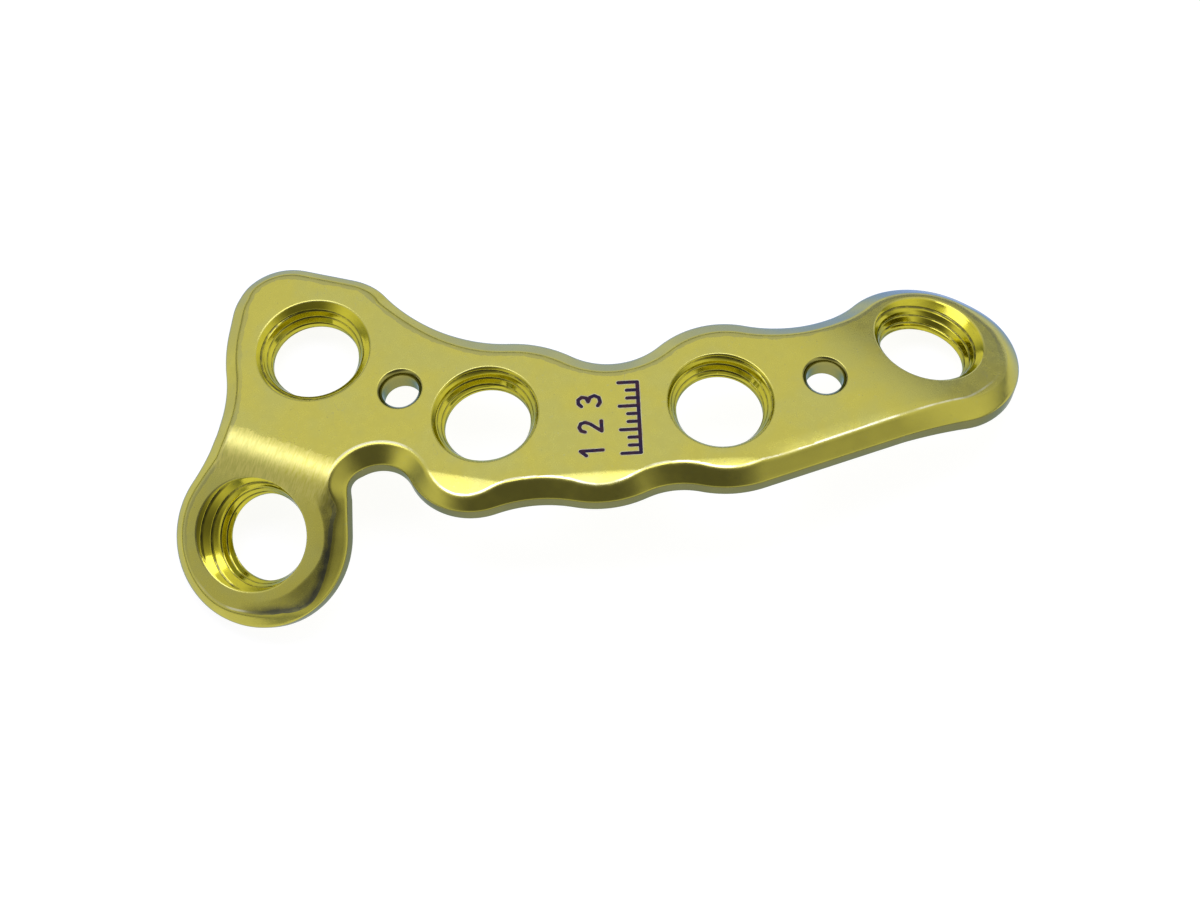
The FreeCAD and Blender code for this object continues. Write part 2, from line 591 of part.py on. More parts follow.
# ----------------------------------------------------------------- holes
def axis_frame(u, v, tilt=0.0, azimuth=0.0):
    f = surface_frame(u, v)
    lean = Vector(math.cos(azimuth) * math.sin(tilt), math.sin(azimuth) * math.sin(tilt), math.cos(tilt))
    z = f.Rotation.multVec(lean)
    x = f.Rotation.multVec(Vector(1, 0, 0))
    x = (x - z * x.dot(z)).normalize()
    return f.Base, x, z


def turned(name, base, x, z, pts, bounds):
    """Cut of revolution about the hole's axis; pts are (radius, height)."""
    sk = new_sketch(name + "_profile", frame(base, x, z))
    w = Path(sk)
    n = len(pts)
    for i in range(n):
        w.line(pts[i], pts[(i + 1) % n])
    for i in range(n):
        w.join(i, "Coincident")
    for i, (rx, hx) in enumerate(bounds):
        if pts[i][0] == 0.0:
            sk.addConstraint(Sketcher.Constraint("PointOnObject", i, 1, -2))
        else:
            bound(sk, Sketcher.Constraint("DistanceX", -1, 1, i, 1, pts[i][0]), rx)
        if pts[i][1] >= 0:
            sk.addConstraint(Sketcher.Constraint("DistanceY", -1, 1, i, 1, pts[i][1]))
        else:
            bound(sk, Sketcher.Constraint("DistanceY", i, 1, -1, 1, -pts[i][1]), hx)
    cut = body.newObject("PartDesign::Groove", name)
    cut.Profile = sk
    cut.ReferenceAxis = (sk, ["V_Axis"])
    cut.Angle = 360.0
    before = body.Shape.Volume
    doc.recompute()
    print(name, "removed", round(before - cut.Shape.Volume, 3), cut.Shape.isValid())


rb_, rt_, dt_, dp_ = dim("screw_bore_rad"), dim("screw_throat_rad"), dim("screw_throat_depth"), dim("screw_taper_depth")
ABOVE, BELOW = 0.6, 1.2
for name in ("hole_one", "hole_two", "hole_three", "hole_four", "hole_five"):
    rim = dim(name + "_rim")
    tilt, to = (rad(name + "_tilt"), rad(name + "_tilt_to")) if name in ("hole_two", "hole_five") else (0.0, 0.0)
    base, x, z = axis_frame(dim(name + "_x"), dim(name + "_y"), tilt, to)
    top = rim + ABOVE * (rim - rt_) / dt_
    turned(name, base, x, z,
           [(0.0, ABOVE), (top, ABOVE), (rt_, -dt_), (rb_, -dp_), (rb_, -T - BELOW), (0.0, -T - BELOW)],
           [(None, None),
            ("Sheet.%s_rim + %s * (Sheet.%s_rim - Sheet.screw_throat_rad) / Sheet.screw_throat_depth" % (name, ABOVE, name), None),
            ("Sheet.screw_throat_rad", "Sheet.screw_throat_depth"), ("Sheet.screw_bore_rad", "Sheet.screw_taper_depth"),
            ("Sheet.screw_bore_rad", "Sheet.plate_thickness + %s" % BELOW), (None, "Sheet.plate_thickness + %s" % BELOW)])
wb_, wr_ = dim("wire_bore_rad"), dim("wire_rim_rad")
for name in ("wire_one", "wire_two"):
    base, x, z = axis_frame(dim(name + "_x"), dim(name + "_y"))
    turned(name, base, x, z,
           [(0.0, 0.2), (wr_ + 0.2, 0.2), (wb_, wb_ - wr_), (wb_, -T - 0.5), (0.0, -T - 0.5)],
           [(None, None), ("Sheet.wire_rim_rad + 0.2", None),
            ("Sheet.wire_bore_rad", "Sheet.wire_rim_rad - Sheet.wire_bore_rad"),
            ("Sheet.wire_bore_rad", "Sheet.plate_thickness + 0.5"), (None, "Sheet.plate_thickness + 0.5")])

# ------------------------------------------------------ bevel of the rim
# The bevel follows the whole top edge over the arch and both folds, so its
# cutter is a closed three-sided ring built from sections square to the edge.
def mid_normal(f):
    a, b, c, d = f.ParameterRange
    return f.normalAt((a + b) / 2, (c + d) / 2)


tops = [f for f in outlined.Faces if mid_normal(f).z > 0.7]
walls = [f for f in outlined.Faces if abs(mid_normal(f).z) < 0.7]
wall_edges = [e for f in walls for e in f.Edges]
rim = []
for f in tops:
    for e in f.Edges:
        if any(e.isSame(o) for o in wall_edges):
            rim.append((e, f))
loop = Part.__sortEdges__([e for e, f in rim])
stations = []
for e in loop:
    m = e.valueAt((e.FirstParameter + e.LastParameter) / 2)
    f = min(rim, key=lambda r: (r[0].valueAt((r[0].FirstParameter + r[0].LastParameter) / 2) - m).Length)[1]
    n = max(3, int(math.ceil(e.Length / 0.3)) + 1)
    pts = e.discretize(Number=n)
    if stations:
        here = stations[-1][0]
    else:
        ends = [v.Point for v in loop[1].Vertexes]
        here = pts[0] if min((pts[-1] - v).Length for v in ends) < min((pts[0] - v).Length for v in ends) else pts[-1]
    if (pts[0] - here).Length > (pts[-1] - here).Length:
        pts = pts[::-1]
    for q in pts[:-1]:
        a, b = f.Surface.parameter(q)
        nn = f.normalAt(a, b)
        stations.append((q, nn if nn.z > 0 else nn * -1))
    stations.append((pts[-1], nn if nn.z > 0 else nn * -1))
kept = []
for q, nn in stations:
    if not kept or (q - kept[-1][0]).Length > 0.12:
        kept.append((q, nn))
if (kept[0][0] - kept[-1][0]).Length < 0.12:
    kept.pop()
N = len(kept)
area = sum(kept[i][0].x * kept[(i + 1) % N][0].y - kept[(i + 1) % N][0].x * kept[i][0].y for i in range(N))
if area < 0:
    kept.reverse()                       # counter-clockwise: inside is on the left
W_, D_ = dim("bevel_width"), dim("bevel_depth")
rings = [[], [], []]
for i in range(N):
    q, up = kept[i]
    t = (kept[(i + 1) % N][0] - kept[i - 1][0]).normalize()
    inward = up.cross(t).normalize()
    rings[0].append(q + inward * (1.28 * W_) + up * (0.28 * D_))
    rings[1].append(q - inward * (0.45 * W_) - up * (1.45 * D_))
    rings[2].append(q - inward * (0.45 * W_) + up * (0.28 * D_))
length = [0.0]
for i in range(N):
    length.append(length[-1] + (kept[(i + 1) % N][0] - kept[i][0]).Length)
SPANS = 12
breaks = [round(k * N / SPANS) for k in range(SPANS + 1)]
faces = []
for k in range(SPANS):
    i0, i1 = breaks[k], breaks[k + 1]
    edges = []
    for pts in rings:
        ends = []
        for i in (i0, i1):
            step = (kept[(i + 1) % N][0] - kept[i % N][0]).Length + (kept[i % N][0] - kept[(i - 1) % N][0]).Length
            ends.append((pts[(i + 1) % N] - pts[(i - 1) % N]) * (1.0 / step))
        curve = Part.BSplineCurve()
        curve.interpolate(Points=[pts[i % N] for i in range(i0, i1 + 1)], Parameters=length[i0:i1 + 1],
                          InitialTangent=ends[0], FinalTangent=ends[1])
        edges.append(curve.toShape())
    faces += [Part.makeRuledSurface(edges[p], edges[q], 1) for p, q in ((0, 1), (1, 2), (2, 0))]
shell = Part.makeShell(faces)
shell.sewShape()
ring = Part.makeSolid(shell if shell.ShapeType == "Shell" else shell.Shells[0])
if ring.Volume < 0:
    ring.reverse()
print("ring", N, ring.isValid(), round(ring.Volume, 3), round(length[-1], 2))
cutter = doc.addObject("Part::Feature", "bevel_ring")
cutter.Shape = ring
plate = doc.addObject("Part::Cut", "plate")
plate.Base, plate.Tool = body, cutter
plate.Label = "bone_plate"
body.Label = "plate_before_bevel"
doc.recompute()
# lying at rest: lowest points on the ground, middle of the outline at the origin
turn = FreeCAD.Rotation(Vector(1, 0, 0), dim("rest_roll")).multiply(FreeCAD.Rotation(Vector(0, 1, 0), dim("rest_pitch")))
plate.Placement = FreeCAD.Placement(Vector(), turn)
doc.recompute()
box = plate.Shape.optimalBoundingBox()
sheet.set("A%d" % (len(DIMENSIONS) + 1), "rest x"); sheet.set("B%d" % (len(DIMENSIONS) + 1), repr(round(-(box.XMin + box.XMax) / 2, 4)))
sheet.setAlias("B%d" % (len(DIMENSIONS) + 1), "rest_x")
sheet.set("A%d" % (len(DIMENSIONS) + 2), "rest y"); sheet.set("B%d" % (len(DIMENSIONS) + 2), repr(round(-(box.YMin + box.YMax) / 2, 4)))
sheet.setAlias("B%d" % (len(DIMENSIONS) + 2), "rest_y")
sheet.set("A%d" % (len(DIMENSIONS) + 3), "rest z"); sheet.set("B%d" % (len(DIMENSIONS) + 3), repr(round(-box.ZMin, 4)))
sheet.setAlias("B%d" % (len(DIMENSIONS) + 3), "rest_z")
doc.recompute()
plate.setExpression("Placement.Base.x", "Sheet.rest_x")
plate.setExpression("Placement.Base.y", "Sheet.rest_y")
plate.setExpression("Placement.Base.z", "Sheet.rest_z")
doc.recompute()
result = plate.Shape
REST = plate.Placement
for name in ("hole_one", "hole_two", "hole_three", "hole_four", "hole_five", "wire_one", "wire_two"):
    tilt, to = (rad(name + "_tilt"), rad(name + "_tilt_to")) if name in ("hole_two", "hole_five") else (0.0, 0.0)
    c, x, z = axis_frame(dim(name + "_x"), dim(name + "_y"), tilt, to)
    c, z = REST.multVec(c), REST.Rotation.multVec(z)
    print(name, "at", [round(k, 4) for k in c], "axis", [round(k, 5) for k in z])
print("rest", [round(k, 5) for k in REST.Base], [[round(k, 7) for k in (REST.Rotation.multVec(e))] for e in (Vector(1, 0, 0), Vector(0, 1, 0), Vector(0, 0, 1))])
print("plate", result.isValid(), len(result.Solids), round(body.Shape.Volume, 3), "->", round(result.Volume, 3), len(result.Faces))
for o in doc.Objects:
    if "Invalid" in o.State or "Error" in o.State:
        raise RuntimeError(o.Name + " is not valid: " + str(o.State))
os.makedirs("parts", exist_ok=True)
result.exportStep("parts/bone_plate.step")
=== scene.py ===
import math
import bpy
import numpy as np
from mathutils import Vector, Matrix
from mathutils.geometry import delaunay_2d_cdt


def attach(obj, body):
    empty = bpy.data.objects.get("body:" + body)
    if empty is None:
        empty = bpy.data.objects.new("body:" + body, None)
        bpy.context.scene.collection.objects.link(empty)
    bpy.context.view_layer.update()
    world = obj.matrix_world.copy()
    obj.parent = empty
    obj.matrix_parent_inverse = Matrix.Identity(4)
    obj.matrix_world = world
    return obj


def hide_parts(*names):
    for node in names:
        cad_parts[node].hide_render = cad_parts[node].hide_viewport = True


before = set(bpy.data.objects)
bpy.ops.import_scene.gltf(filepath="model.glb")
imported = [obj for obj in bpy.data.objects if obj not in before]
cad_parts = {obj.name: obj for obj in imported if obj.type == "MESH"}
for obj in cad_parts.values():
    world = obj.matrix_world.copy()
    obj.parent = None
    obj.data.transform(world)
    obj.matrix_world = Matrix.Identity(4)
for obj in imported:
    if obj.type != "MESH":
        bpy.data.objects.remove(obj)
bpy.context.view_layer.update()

# ------------------------------------------------------------------ sizes (mm)
T, WB, CB = 1.35, 0.86, 0.63                 # thickness, bevel width and depth
R_ARCH, A_ARCH = 60.0, math.radians(6.75)
LA = R_ARCH * A_ARCH
REST_BASE = np.array([0.143, 0.2725, 6.5833])
REST_ROT = np.array([[0.998861, 0.014367, 0.0455006], [0.0, 0.9535925, -0.3011003], [-0.0477149, 0.3007573, 0.9525063]])


class Fold:
    def __init__(self, radius, angle, azimuth, start, toward):
        self.R, self.A, self.s0 = radius, math.radians(angle), start
        az = math.radians(azimuth)
        self.d = np.array([math.cos(az), math.sin(az)])
        self.m = np.array([-math.sin(az) * toward, math.cos(az) * toward])
        self.L = self.R * self.A
        self.mid = self.s0 + self.L / 2

    def bend(self, p, mask):
        """Folds points (N,3) where mask is set."""
        s, t, z = p[:, :2] @ self.m, p[:, :2] @ self.d, p[:, 2]
        a = np.clip(s - self.s0, 0, self.L) / self.R
        ex = np.maximum(s - self.s0 - self.L, 0)
        r = self.R + z
        s2 = self.s0 + r * np.sin(a) + ex * np.cos(a)
        z2 = r * np.cos(a) - self.R - ex * np.sin(a)
        on = mask & (s > self.s0)
        q = p.copy()
        q[on, :2] = t[on, None] * self.d + s2[on, None] * self.m
        q[on, 2] = z2[on]
        return q

    def unbend(self, q, mask):
        s2, t, z2 = q[:, :2] @ self.m, q[:, :2] @ self.d, q[:, 2]
        a = np.arctan2(s2 - self.s0, z2 + self.R)
        on = mask & (a > 0)
        p = q.copy()
        arc = on & (a <= self.A)
        s = self.s0 + self.R * a
        w = np.hypot(s2 - self.s0, z2 + self.R) - self.R
        ca, sa = math.cos(self.A), math.sin(self.A)
        ds, dz = s2 - (self.s0 + self.R * sa), z2 - (self.R * ca - self.R)
        s_f = self.s0 + self.L + ds * ca - dz * sa
        w_f = ds * sa + dz * ca
        s = np.where(arc, s, s_f)
        w = np.where(arc, w, w_f)
        p[on, :2] = t[on, None] * self.d + s[on, None] * self.m
        p[on, 2] = w[on]
        return p


TAB = Fold(3.6, 32.5, -28.5, 7.5, -1)
END = Fold(13.0, 16.8, -39.1, 8.4, 1)


def masks(p):
    tab = (p[:, 0] < -5) & (p[:, :2] @ TAB.d < -8.5)
    return tab, p[:, 0] > 4


def to_plate(flat):
    """Flat position and height (u, v, w) to the folded plate."""
    p = np.asarray(flat, float).reshape(-1, 3)
    tab, end = masks(p)
    p = END.bend(TAB.bend(p, tab), end)
    a = np.clip(p[:, 0] / R_ARCH, -A_ARCH, A_ARCH)
    ex = np.sign(p[:, 0]) * np.maximum(np.abs(p[:, 0]) - LA, 0)
    r = R_ARCH + p[:, 2]
    return np.stack([r * np.sin(a) + ex * np.cos(a), p[:, 1], r * np.cos(a) - R_ARCH - ex * np.sin(a)], 1)


def to_flat(q):
    q = np.asarray(q, float).reshape(-1, 3)
    a = np.arctan2(q[:, 0], q[:, 2] + R_ARCH)
    inside = np.abs(a) <= A_ARCH
    sg = np.sign(q[:, 0])
    ca, sa = math.cos(A_ARCH), math.sin(A_ARCH)
    dx, dz = np.abs(q[:, 0]) - R_ARCH * sa, q[:, 2] - (R_ARCH * ca - R_ARCH)
    u = np.where(inside, R_ARCH * a, sg * (LA + dx * ca - dz * sa))
    w = np.where(inside, np.hypot(q[:, 0], q[:, 2] + R_ARCH) - R_ARCH, dx * sa + dz * ca)
    p = np.stack([u, q[:, 1], w], 1)
    tab, end = masks(p)
    return END.unbend(TAB.unbend(p, tab), end)


def rest(q):
    """Plate position (mm) to the part as it lies (m)."""
    return (REST_BASE + q @ REST_ROT) * 0.001


# ----------------------------------------------------------------- the outline
def two_circles(a, ra, b, rb, side):
    a, b = np.array(a), np.array(b)
    d = np.hypot(*(b - a)); u = (b - a) / d
    x = (ra * ra - rb * rb + d * d) / (2 * d)
    k = math.sqrt(max(ra * ra - x * x, 0)) * side
    return a + u * x + np.array([-u[1], u[0]]) * k


def tangent_line(a, ra, b, rb):
    a, b = np.array(a), np.array(b)
    d = np.hypot(*(b - a)); u = (b - a) / d
    k = (ra - rb) / d; c = math.sqrt(1 - k * k)
    n = np.array([-u[1], u[0]]) * c + u * k
    return a + n * ra, b + n * rb


def toward(a, b, r):
    a, b = np.array(a), np.array(b)
    return a + (b - a) * (r / np.hypot(*(b - a)))


def plan_to_flat(p):
    p = np.asarray(p, float).reshape(-1, 2)
    x = p[:, 0]
    xe = R_ARCH * math.sin(A_ARCH)
    u = np.where(np.abs(x) <= xe, R_ARCH * np.arcsin(np.clip(x / R_ARCH, -1, 1)),
                 np.sign(x) * (LA + (np.abs(x) - xe) / math.cos(A_ARCH)))
    return np.stack([u, p[:, 1]], 1)


def folded_to_flat(fold, p):
    """In-plane position of a folded zone to flat position (they differ only on the bend)."""
    p = np.asarray(p, float).reshape(-1, 2)
    s, t = p @ fold.m, p @ fold.d
    end = fold.s0 + fold.L
    a = fold.A - np.arcsin(np.clip((end - s) / fold.R, 0, 1))
    s = np.where(s < end, fold.s0 + fold.R * a, s)
    return t[:, None] * fold.d + s[:, None] * fold.m


def flat_to_folded(fold, p):
    p = np.asarray(p, float)
    s, t = p @ fold.m, p @ fold.d
    end = fold.s0 + fold.L
    if s < end:
        s = end - fold.R * math.sin(fold.A - (s - fold.s0) / fold.R)
    return t * fold.d + s * fold.m


def flat_to_plan(p):
    q = to_plate(np.array([[p[0], p[1], 0.0]]))[0]
    return q[:2]


def arc_pts(c, p, q, turn, step=0.06):
    a = math.atan2(p[1] - c[1], p[0] - c[0]); b = math.atan2(q[1] - c[1], q[0] - c[0])
    if turn > 0 and b < a: b += 2 * math.pi
    if turn < 0 and b > a: b -= 2 * math.pi
    r = math.hypot(p[0] - c[0], p[1] - c[1])
    n = max(2, int(abs(b - a) * r / step))
    t = np.linspace(a, b, n + 1)[:-1]
    return np.stack([c[0] + r * np.cos(t), c[1] + r * np.sin(t)], 1)


def line_pts(p, q, step=0.06):
    p, q = np.array(p), np.array(q)
    n = max(2, int(np.hypot(*(q - p)) / step))
    t = np.linspace(0, 1, n + 1)[:-1, None]
    return p + (q - p) * t


left_c, left_r = (-9.943, 4.99), 8.93
corner_c, corner_r = (-15.624, 7.48), 2.83
sh_c, sh_r = (-13.439, 5.92), 3.52
f3_c, f3_r = (-5.114, -2.15), 6.74
f4_c, f4_r = (6.348, -0.09), 5.15
n4_c, n4_r = (6.040, 0.99), 5.54
nm_c, nm_r = (-0.27, 0.28), 5.44
n3_c, n3_r = (-6.62, -1.52), 3.51
bay_v, bay_r = -3.31, 1.74
tab_c, tab_r = (-18.24, -4.46), 4.59
end_c, end_r = (16.97, 3.77), 4.89
tip_r = 4.61
tip_c = (16.96, end_c[1] + math.sqrt((end_r - tip_r) ** 2 - (16.96 - end_c[0]) ** 2))
R_SH, R_MID, R_ENDN, R_NEAR, R_MIDN, R_TABN = 8.28, 3.72, 6.27, 4.22, 7.6, 7.6


def fold_cut(fold, c, r, near):
    c = np.array(c)
    h = fold.mid - c @ fold.m
    k = math.sqrt(r * r - h * h)
    pts = [c + fold.m * h + fold.d * k, c + fold.m * h - fold.d * k]
    return min(pts, key=lambda p: np.hypot(*(p - np.array(near))))


def outline():
    lf = plan_to_flat([left_c])[0]
    A = fold_cut(TAB, two_circles(tab_c, tab_r + R_TABN, lf, left_r + R_TABN, 1), R_TABN, (-19.7, 1.0))
    bay = (plan_to_flat([(n3_c[0] - math.sqrt((n3_r + bay_r) ** 2 - (n3_c[1] - bay_v) ** 2), 0)])[0][0], bay_v)
    D = fold_cut(TAB, bay, bay_r, (-13.3, -2.5))
    ff = plan_to_flat([f4_c])[0]
    B = fold_cut(END, two_circles(ff, f4_r + R_ENDN, end_c, end_r + R_ENDN, 1), R_ENDN, (10.1, 5.0))
    nf = plan_to_flat([n4_c])[0]
    p, q = tangent_line(tip_c, tip_r, nf, n4_r)
    C = p + (q - p) * ((END.mid - p @ END.m) / ((q - p) @ END.m))
    Ap, Bp, Cp, Dp = [flat_to_plan(x) for x in (A, B, C, D)]
    At, Dt = flat_to_folded(TAB, A), flat_to_folded(TAB, D)
    Be, Ce = flat_to_folded(END, B), flat_to_folded(END, C)
    # far side of head and shaft
    n_tab = two_circles(Ap, R_TABN, left_c, left_r + R_TABN, 1)
    l1, c1 = tangent_line(left_c, left_r, corner_c, corner_r)
    c2, s1 = tangent_line(corner_c, corner_r, sh_c, sh_r)
    n_sh = two_circles(sh_c, sh_r + R_SH, f3_c, f3_r + R_SH, 1)
    n_mid = two_circles(f3_c, f3_r + R_MID, f4_c, f4_r + R_MID, 1)
    n_end = two_circles(f4_c, f4_r + R_ENDN, Bp, R_ENDN, 1)
    j = [toward(left_c, n_tab, left_r), toward(sh_c, n_sh, sh_r), toward(f3_c, n_sh, f3_r),
         toward(f3_c, n_mid, f3_r), toward(f4_c, n_mid, f4_r), toward(f4_c, n_end, f4_r)]
    far = [arc_pts(n_tab, Ap, j[0], 1), arc_pts(left_c, j[0], l1, -1), line_pts(l1, c1), arc_pts(corner_c, c1, c2, -1),
           line_pts(c2, s1), arc_pts(sh_c, s1, j[1], -1), arc_pts(n_sh, j[1], j[2], 1), arc_pts(f3_c, j[2], j[3], -1),
           arc_pts(n_mid, j[3], j[4], 1), arc_pts(f4_c, j[4], j[5], -1), arc_pts(n_end, j[5], Bp, 1)]
    far = plan_to_flat(np.concatenate(far))
    # the folded end
    n_e = two_circles(Be, R_ENDN, end_c, end_r + R_ENDN, 1)
    e0 = toward(end_c, n_e, end_r); e1 = toward(end_c, tip_c, end_r)
    q, _ = tangent_line(tip_c, tip_r, Ce, 0.0)
    end = folded_to_flat(END, np.concatenate([arc_pts(n_e, Be, e0, 1), arc_pts(end_c, e0, e1, -1), arc_pts(tip_c, e1, q, -1), line_pts(q, Ce)]))
    # near side
    _, q1 = tangent_line(Cp, 0.0, n4_c, n4_r)
    n_a = two_circles(n4_c, n4_r + R_NEAR, nm_c, nm_r + R_NEAR, 1)
    n_b = two_circles(nm_c, nm_r + R_MIDN, n3_c, n3_r + R_MIDN, 1)
    bp = two_circles(n3_c, n3_r + bay_r, Dp, bay_r, 1)
    k = [toward(n4_c, n_a, n4_r), toward(nm_c, n_a, nm_r), toward(nm_c, n_b, nm_r), toward(n3_c, n_b, n3_r), toward(n3_c, bp, n3_r)]
    near = plan_to_flat(np.concatenate([
        line_pts(Cp, q1), arc_pts(n4_c, q1, k[0], -1), arc_pts(n_a, k[0], k[1], 1), arc_pts(nm_c, k[1], k[2], -1),
        arc_pts(n_b, k[2], k[3], 1), arc_pts(n3_c, k[3], k[4], -1), arc_pts(bp, k[4], Dp, 1)]))
    # tab
    bt = (Dt[0] + math.sqrt(bay_r ** 2 - (Dt[1] - bay_v) ** 2), bay_v)
    t1, t2 = tangent_line(bt, -bay_r, tab_c, tab_r)
    n_t = two_circles(tab_c, tab_r + R_TABN, At, R_TABN, 1)
    t3 = toward(tab_c, n_t, tab_r)
    tab = folded_to_flat(TAB, np.concatenate([arc_pts(bt, Dt, t1, 1), line_pts(t1, t2), arc_pts(tab_c, t2, t3, -1), arc_pts(n_t, t3, At, 1)]))
    path = np.concatenate([far, end, near, tab])[::-1]      # counter-clockwise
    # even stations, with the few small kinks at the folds eased
    d = np.r_[0, np.cumsum(np.hypot(*np.diff(np.r_[path, path[:1]], axis=0).T))]
    n = 2 * int(d[-1] / 0.15 / 2)
    fine = 8 * n
    t = np.linspace(0, d[-1], fine, endpoint=False)
    closed = np.r_[path, path[:1]]
    p = np.stack([np.interp(t, d, closed[:, 0]), np.interp(t, d, closed[:, 1])], 1)
    sig = 0.10 / (d[-1] / fine)
    kx = np.arange(-int(4 * sig), int(4 * sig) + 1); ker = np.exp(-0.5 * (kx / sig) ** 2); ker /= ker.sum()
    p = np.stack([np.convolve(np.r_[p[-len(kx):, i], p[:, i], p[:len(kx), i]], ker, "same")[len(kx):-len(kx)] for i in (0, 1)], 1)
    tan = np.roll(p, -4, 0) - np.roll(p, 4, 0)
    tan /= np.linalg.norm(tan, axis=1)[:, None]
    return p[::8], np.stack([-tan[::8, 1], tan[::8, 0]], 1)   # inward normals


RIM, INWARD = outline()
N = len(RIM)

# ------------------------------------------------------- shape of the top face
FACETS = []


def facet(p, q, before, after, slope, curve, fade=0.001):
    """Convex facet: slope at its crease, rounding further down towards the rim."""
    p, q = np.array(p), np.array(q)
    L = np.hypot(*(q - p)); e = (q - p) / L
    FACETS.append((p, e, np.array([-e[1], e[0]]), -before, L + after, slope, curve, fade))


facet((-4.87, -3.96), (-9.10, -2.62), 1.5, 1.3, 0.14, 0.035)
facet((1.92, -3.70), (-3.34, -3.70), 1.5, 0.8, 0.10, 0.12)
facet((8.80, -3.06), (3.30, -3.28), 2.0, 0.0, 0.09, 0.07)
facet((16.6, 0.37), (7.6, -2.51), 1.2, 1.0, 0.03, 0.075, 2.6)     # soft shoulder along the arm
EASE = 0.07
TAB_BAND = 3.28


def band_start(az):
    """Radius at which the band round the tab begins, by direction in degrees."""
    t = np.clip((az + 62.0) / 44.0, 0, 1)
    return TAB_BAND + 0.28 * t * t * (3 - 2 * t)


def drop(p):
    """Depth of the facets below the top face at flat positions."""
    p = np.asarray(p, float).reshape(-1, 2)
    out = np.zeros(len(p))
    for o, e, n, a, b, slope, curve, fade in FACETS:
        along, x = (p - o) @ e, (p - o) @ n
        d = np.where(x < -EASE, 0.0, np.where(x < EASE, (x + EASE) ** 2 / (4 * EASE), x)) * slope + curve * np.maximum(x, 0) ** 2
        on = np.clip((along - a) / fade, 0, 1) * np.clip((b - along) / fade, 0, 1)
        out = np.maximum(out, d * on * on * (3 - 2 * on))
    # curved band round the free side of the tab, fading out at both ends
    q = p - np.array(tab_c)
    az = np.degrees(np.arctan2(q[:, 1], q[:, 0]))
    x = np.hypot(q[:, 0], q[:, 1]) - band_start(az)
    on = np.clip((az + 118.0) / 40.0, 0, 1) * np.clip((24.0 - az) / 20.0, 0, 1)
    on = on * on * (3 - 2 * on) * (x < 1.9)
    d = np.where(x < -EASE, 0.0, np.where(x < EASE, (x + EASE) ** 2 / (4 * EASE), x)) * 0.25 + 0.07 * np.maximum(x, 0) ** 2
    return np.maximum(out, on * d)


# ------------------------------------------------------------------- the mesh
class Builder:
    def __init__(self):
        self.v, self.f, self.mat, self.uv, self.ring = [], [], [], [], []
        self.n = 0

    def add(self, pts, flat, ring=None):
        """pts in plate mm, flat (u, v) for the surface patterns; ring is (angle, depth) in a hole."""
        self.v.append(np.asarray(pts, float).reshape(-1, 3)); self.uv.append(np.asarray(flat, float).reshape(-1, 2))
        m = len(self.v[-1])
        self.ring.append(np.zeros((m, 2)) if ring is None else np.broadcast_to(np.asarray(ring, float).reshape(-1, 2), (m, 2)))
        k = self.n
        self.n += len(self.v[-1])
        return np.arange(k, self.n)

    def strip(self, a, b, mat, closed=True):
        """Quads between two loops of the same length."""
        a, b = np.asarray(a), np.asarray(b)
        m = len(a)
        for i in range(m if closed else m - 1):
            j = (i + 1) % m
            self.f.append((a[i], a[j], b[j], b[i])); self.mat.append(mat)


M = Builder()
TOP, BEVEL, WALL, HOLE, UNDER, MARK, HALO, BORE = range(8)


def surf(p, w):
    return to_plate(np.c_[p, np.broadcast_to(w, (len(p),))])


# outline: bottom edge, wall, small roundings, bevel
def ramp(v, a, b):
    t = np.clip((v - a) / (b - a), 0, 1)
    return t * t * (3 - 2 * t)


# the bevel is narrower along the left side, most of all round the tab, and on the far side of the head
round_tab = np.degrees(np.arctan2(RIM[:, 1] - tab_c[1], RIM[:, 0] - tab_c[0])) % 360
on_tab = ramp(-(RIM @ np.array(TAB.d)), 8.5, 11.5) * ramp(RIM @ np.array(TAB.m), TAB.s0 - 1.0, TAB.s0 + 3.0)
narrow = 0.24 * ramp(INWARD[:, 0], 0.45, 0.85) * (RIM[:, 0] < -12.6)
narrow = np.maximum(narrow, 0.26 * ramp(-INWARD[:, 0], 0.45, 0.95) * (RIM[:, 0] > 14))
narrow = np.maximum(narrow, 0.40 * ramp(-INWARD[:, 1], 0.25, 0.8) * (1 - ramp(RIM[:, 0], -10.5, -5.0)))
narrow = np.maximum(narrow, 0.47 * on_tab * ramp(round_tab, 90, 130) * (1 - ramp(round_tab, 215, 285)))
a = (round_tab + 180) % 360 - 180
narrow = np.maximum(narrow, 0.32 * on_tab * ramp(a, -90, -55) * (1 - ramp(a, 2, 34)))
WBS, CBS = WB * (1 - narrow), CB * (1 - narrow)
lo, hi = np.zeros(N), WBS.copy()
for _ in range(40):
    mid = (lo + hi) / 2
    f = CBS * (1 - mid / WBS) - drop(RIM + INWARD * mid[:, None])
    lo, hi = np.where(f > 0, mid, lo), np.where(f > 0, hi, mid)
CREASE = (lo + hi) / 2
rows = []


def row(o, w):
    o = np.broadcast_to(o, (N,)).astype(float)
    p = RIM + INWARD * o[:, None]
    rows.append((p, M.add(surf(p, w), p)))


def depth_at(o):
    """Depth of the rim's section at o from the outline: bevel, rounded crease, top."""
    dr = drop(RIM + INWARD * o[:, None])
    f = CBS * (1 - o / WBS) - dr
    return dr + np.where(f > SM, f, np.where(f < -SM, 0.0, (f + SM) ** 2 / (4 * SM)))


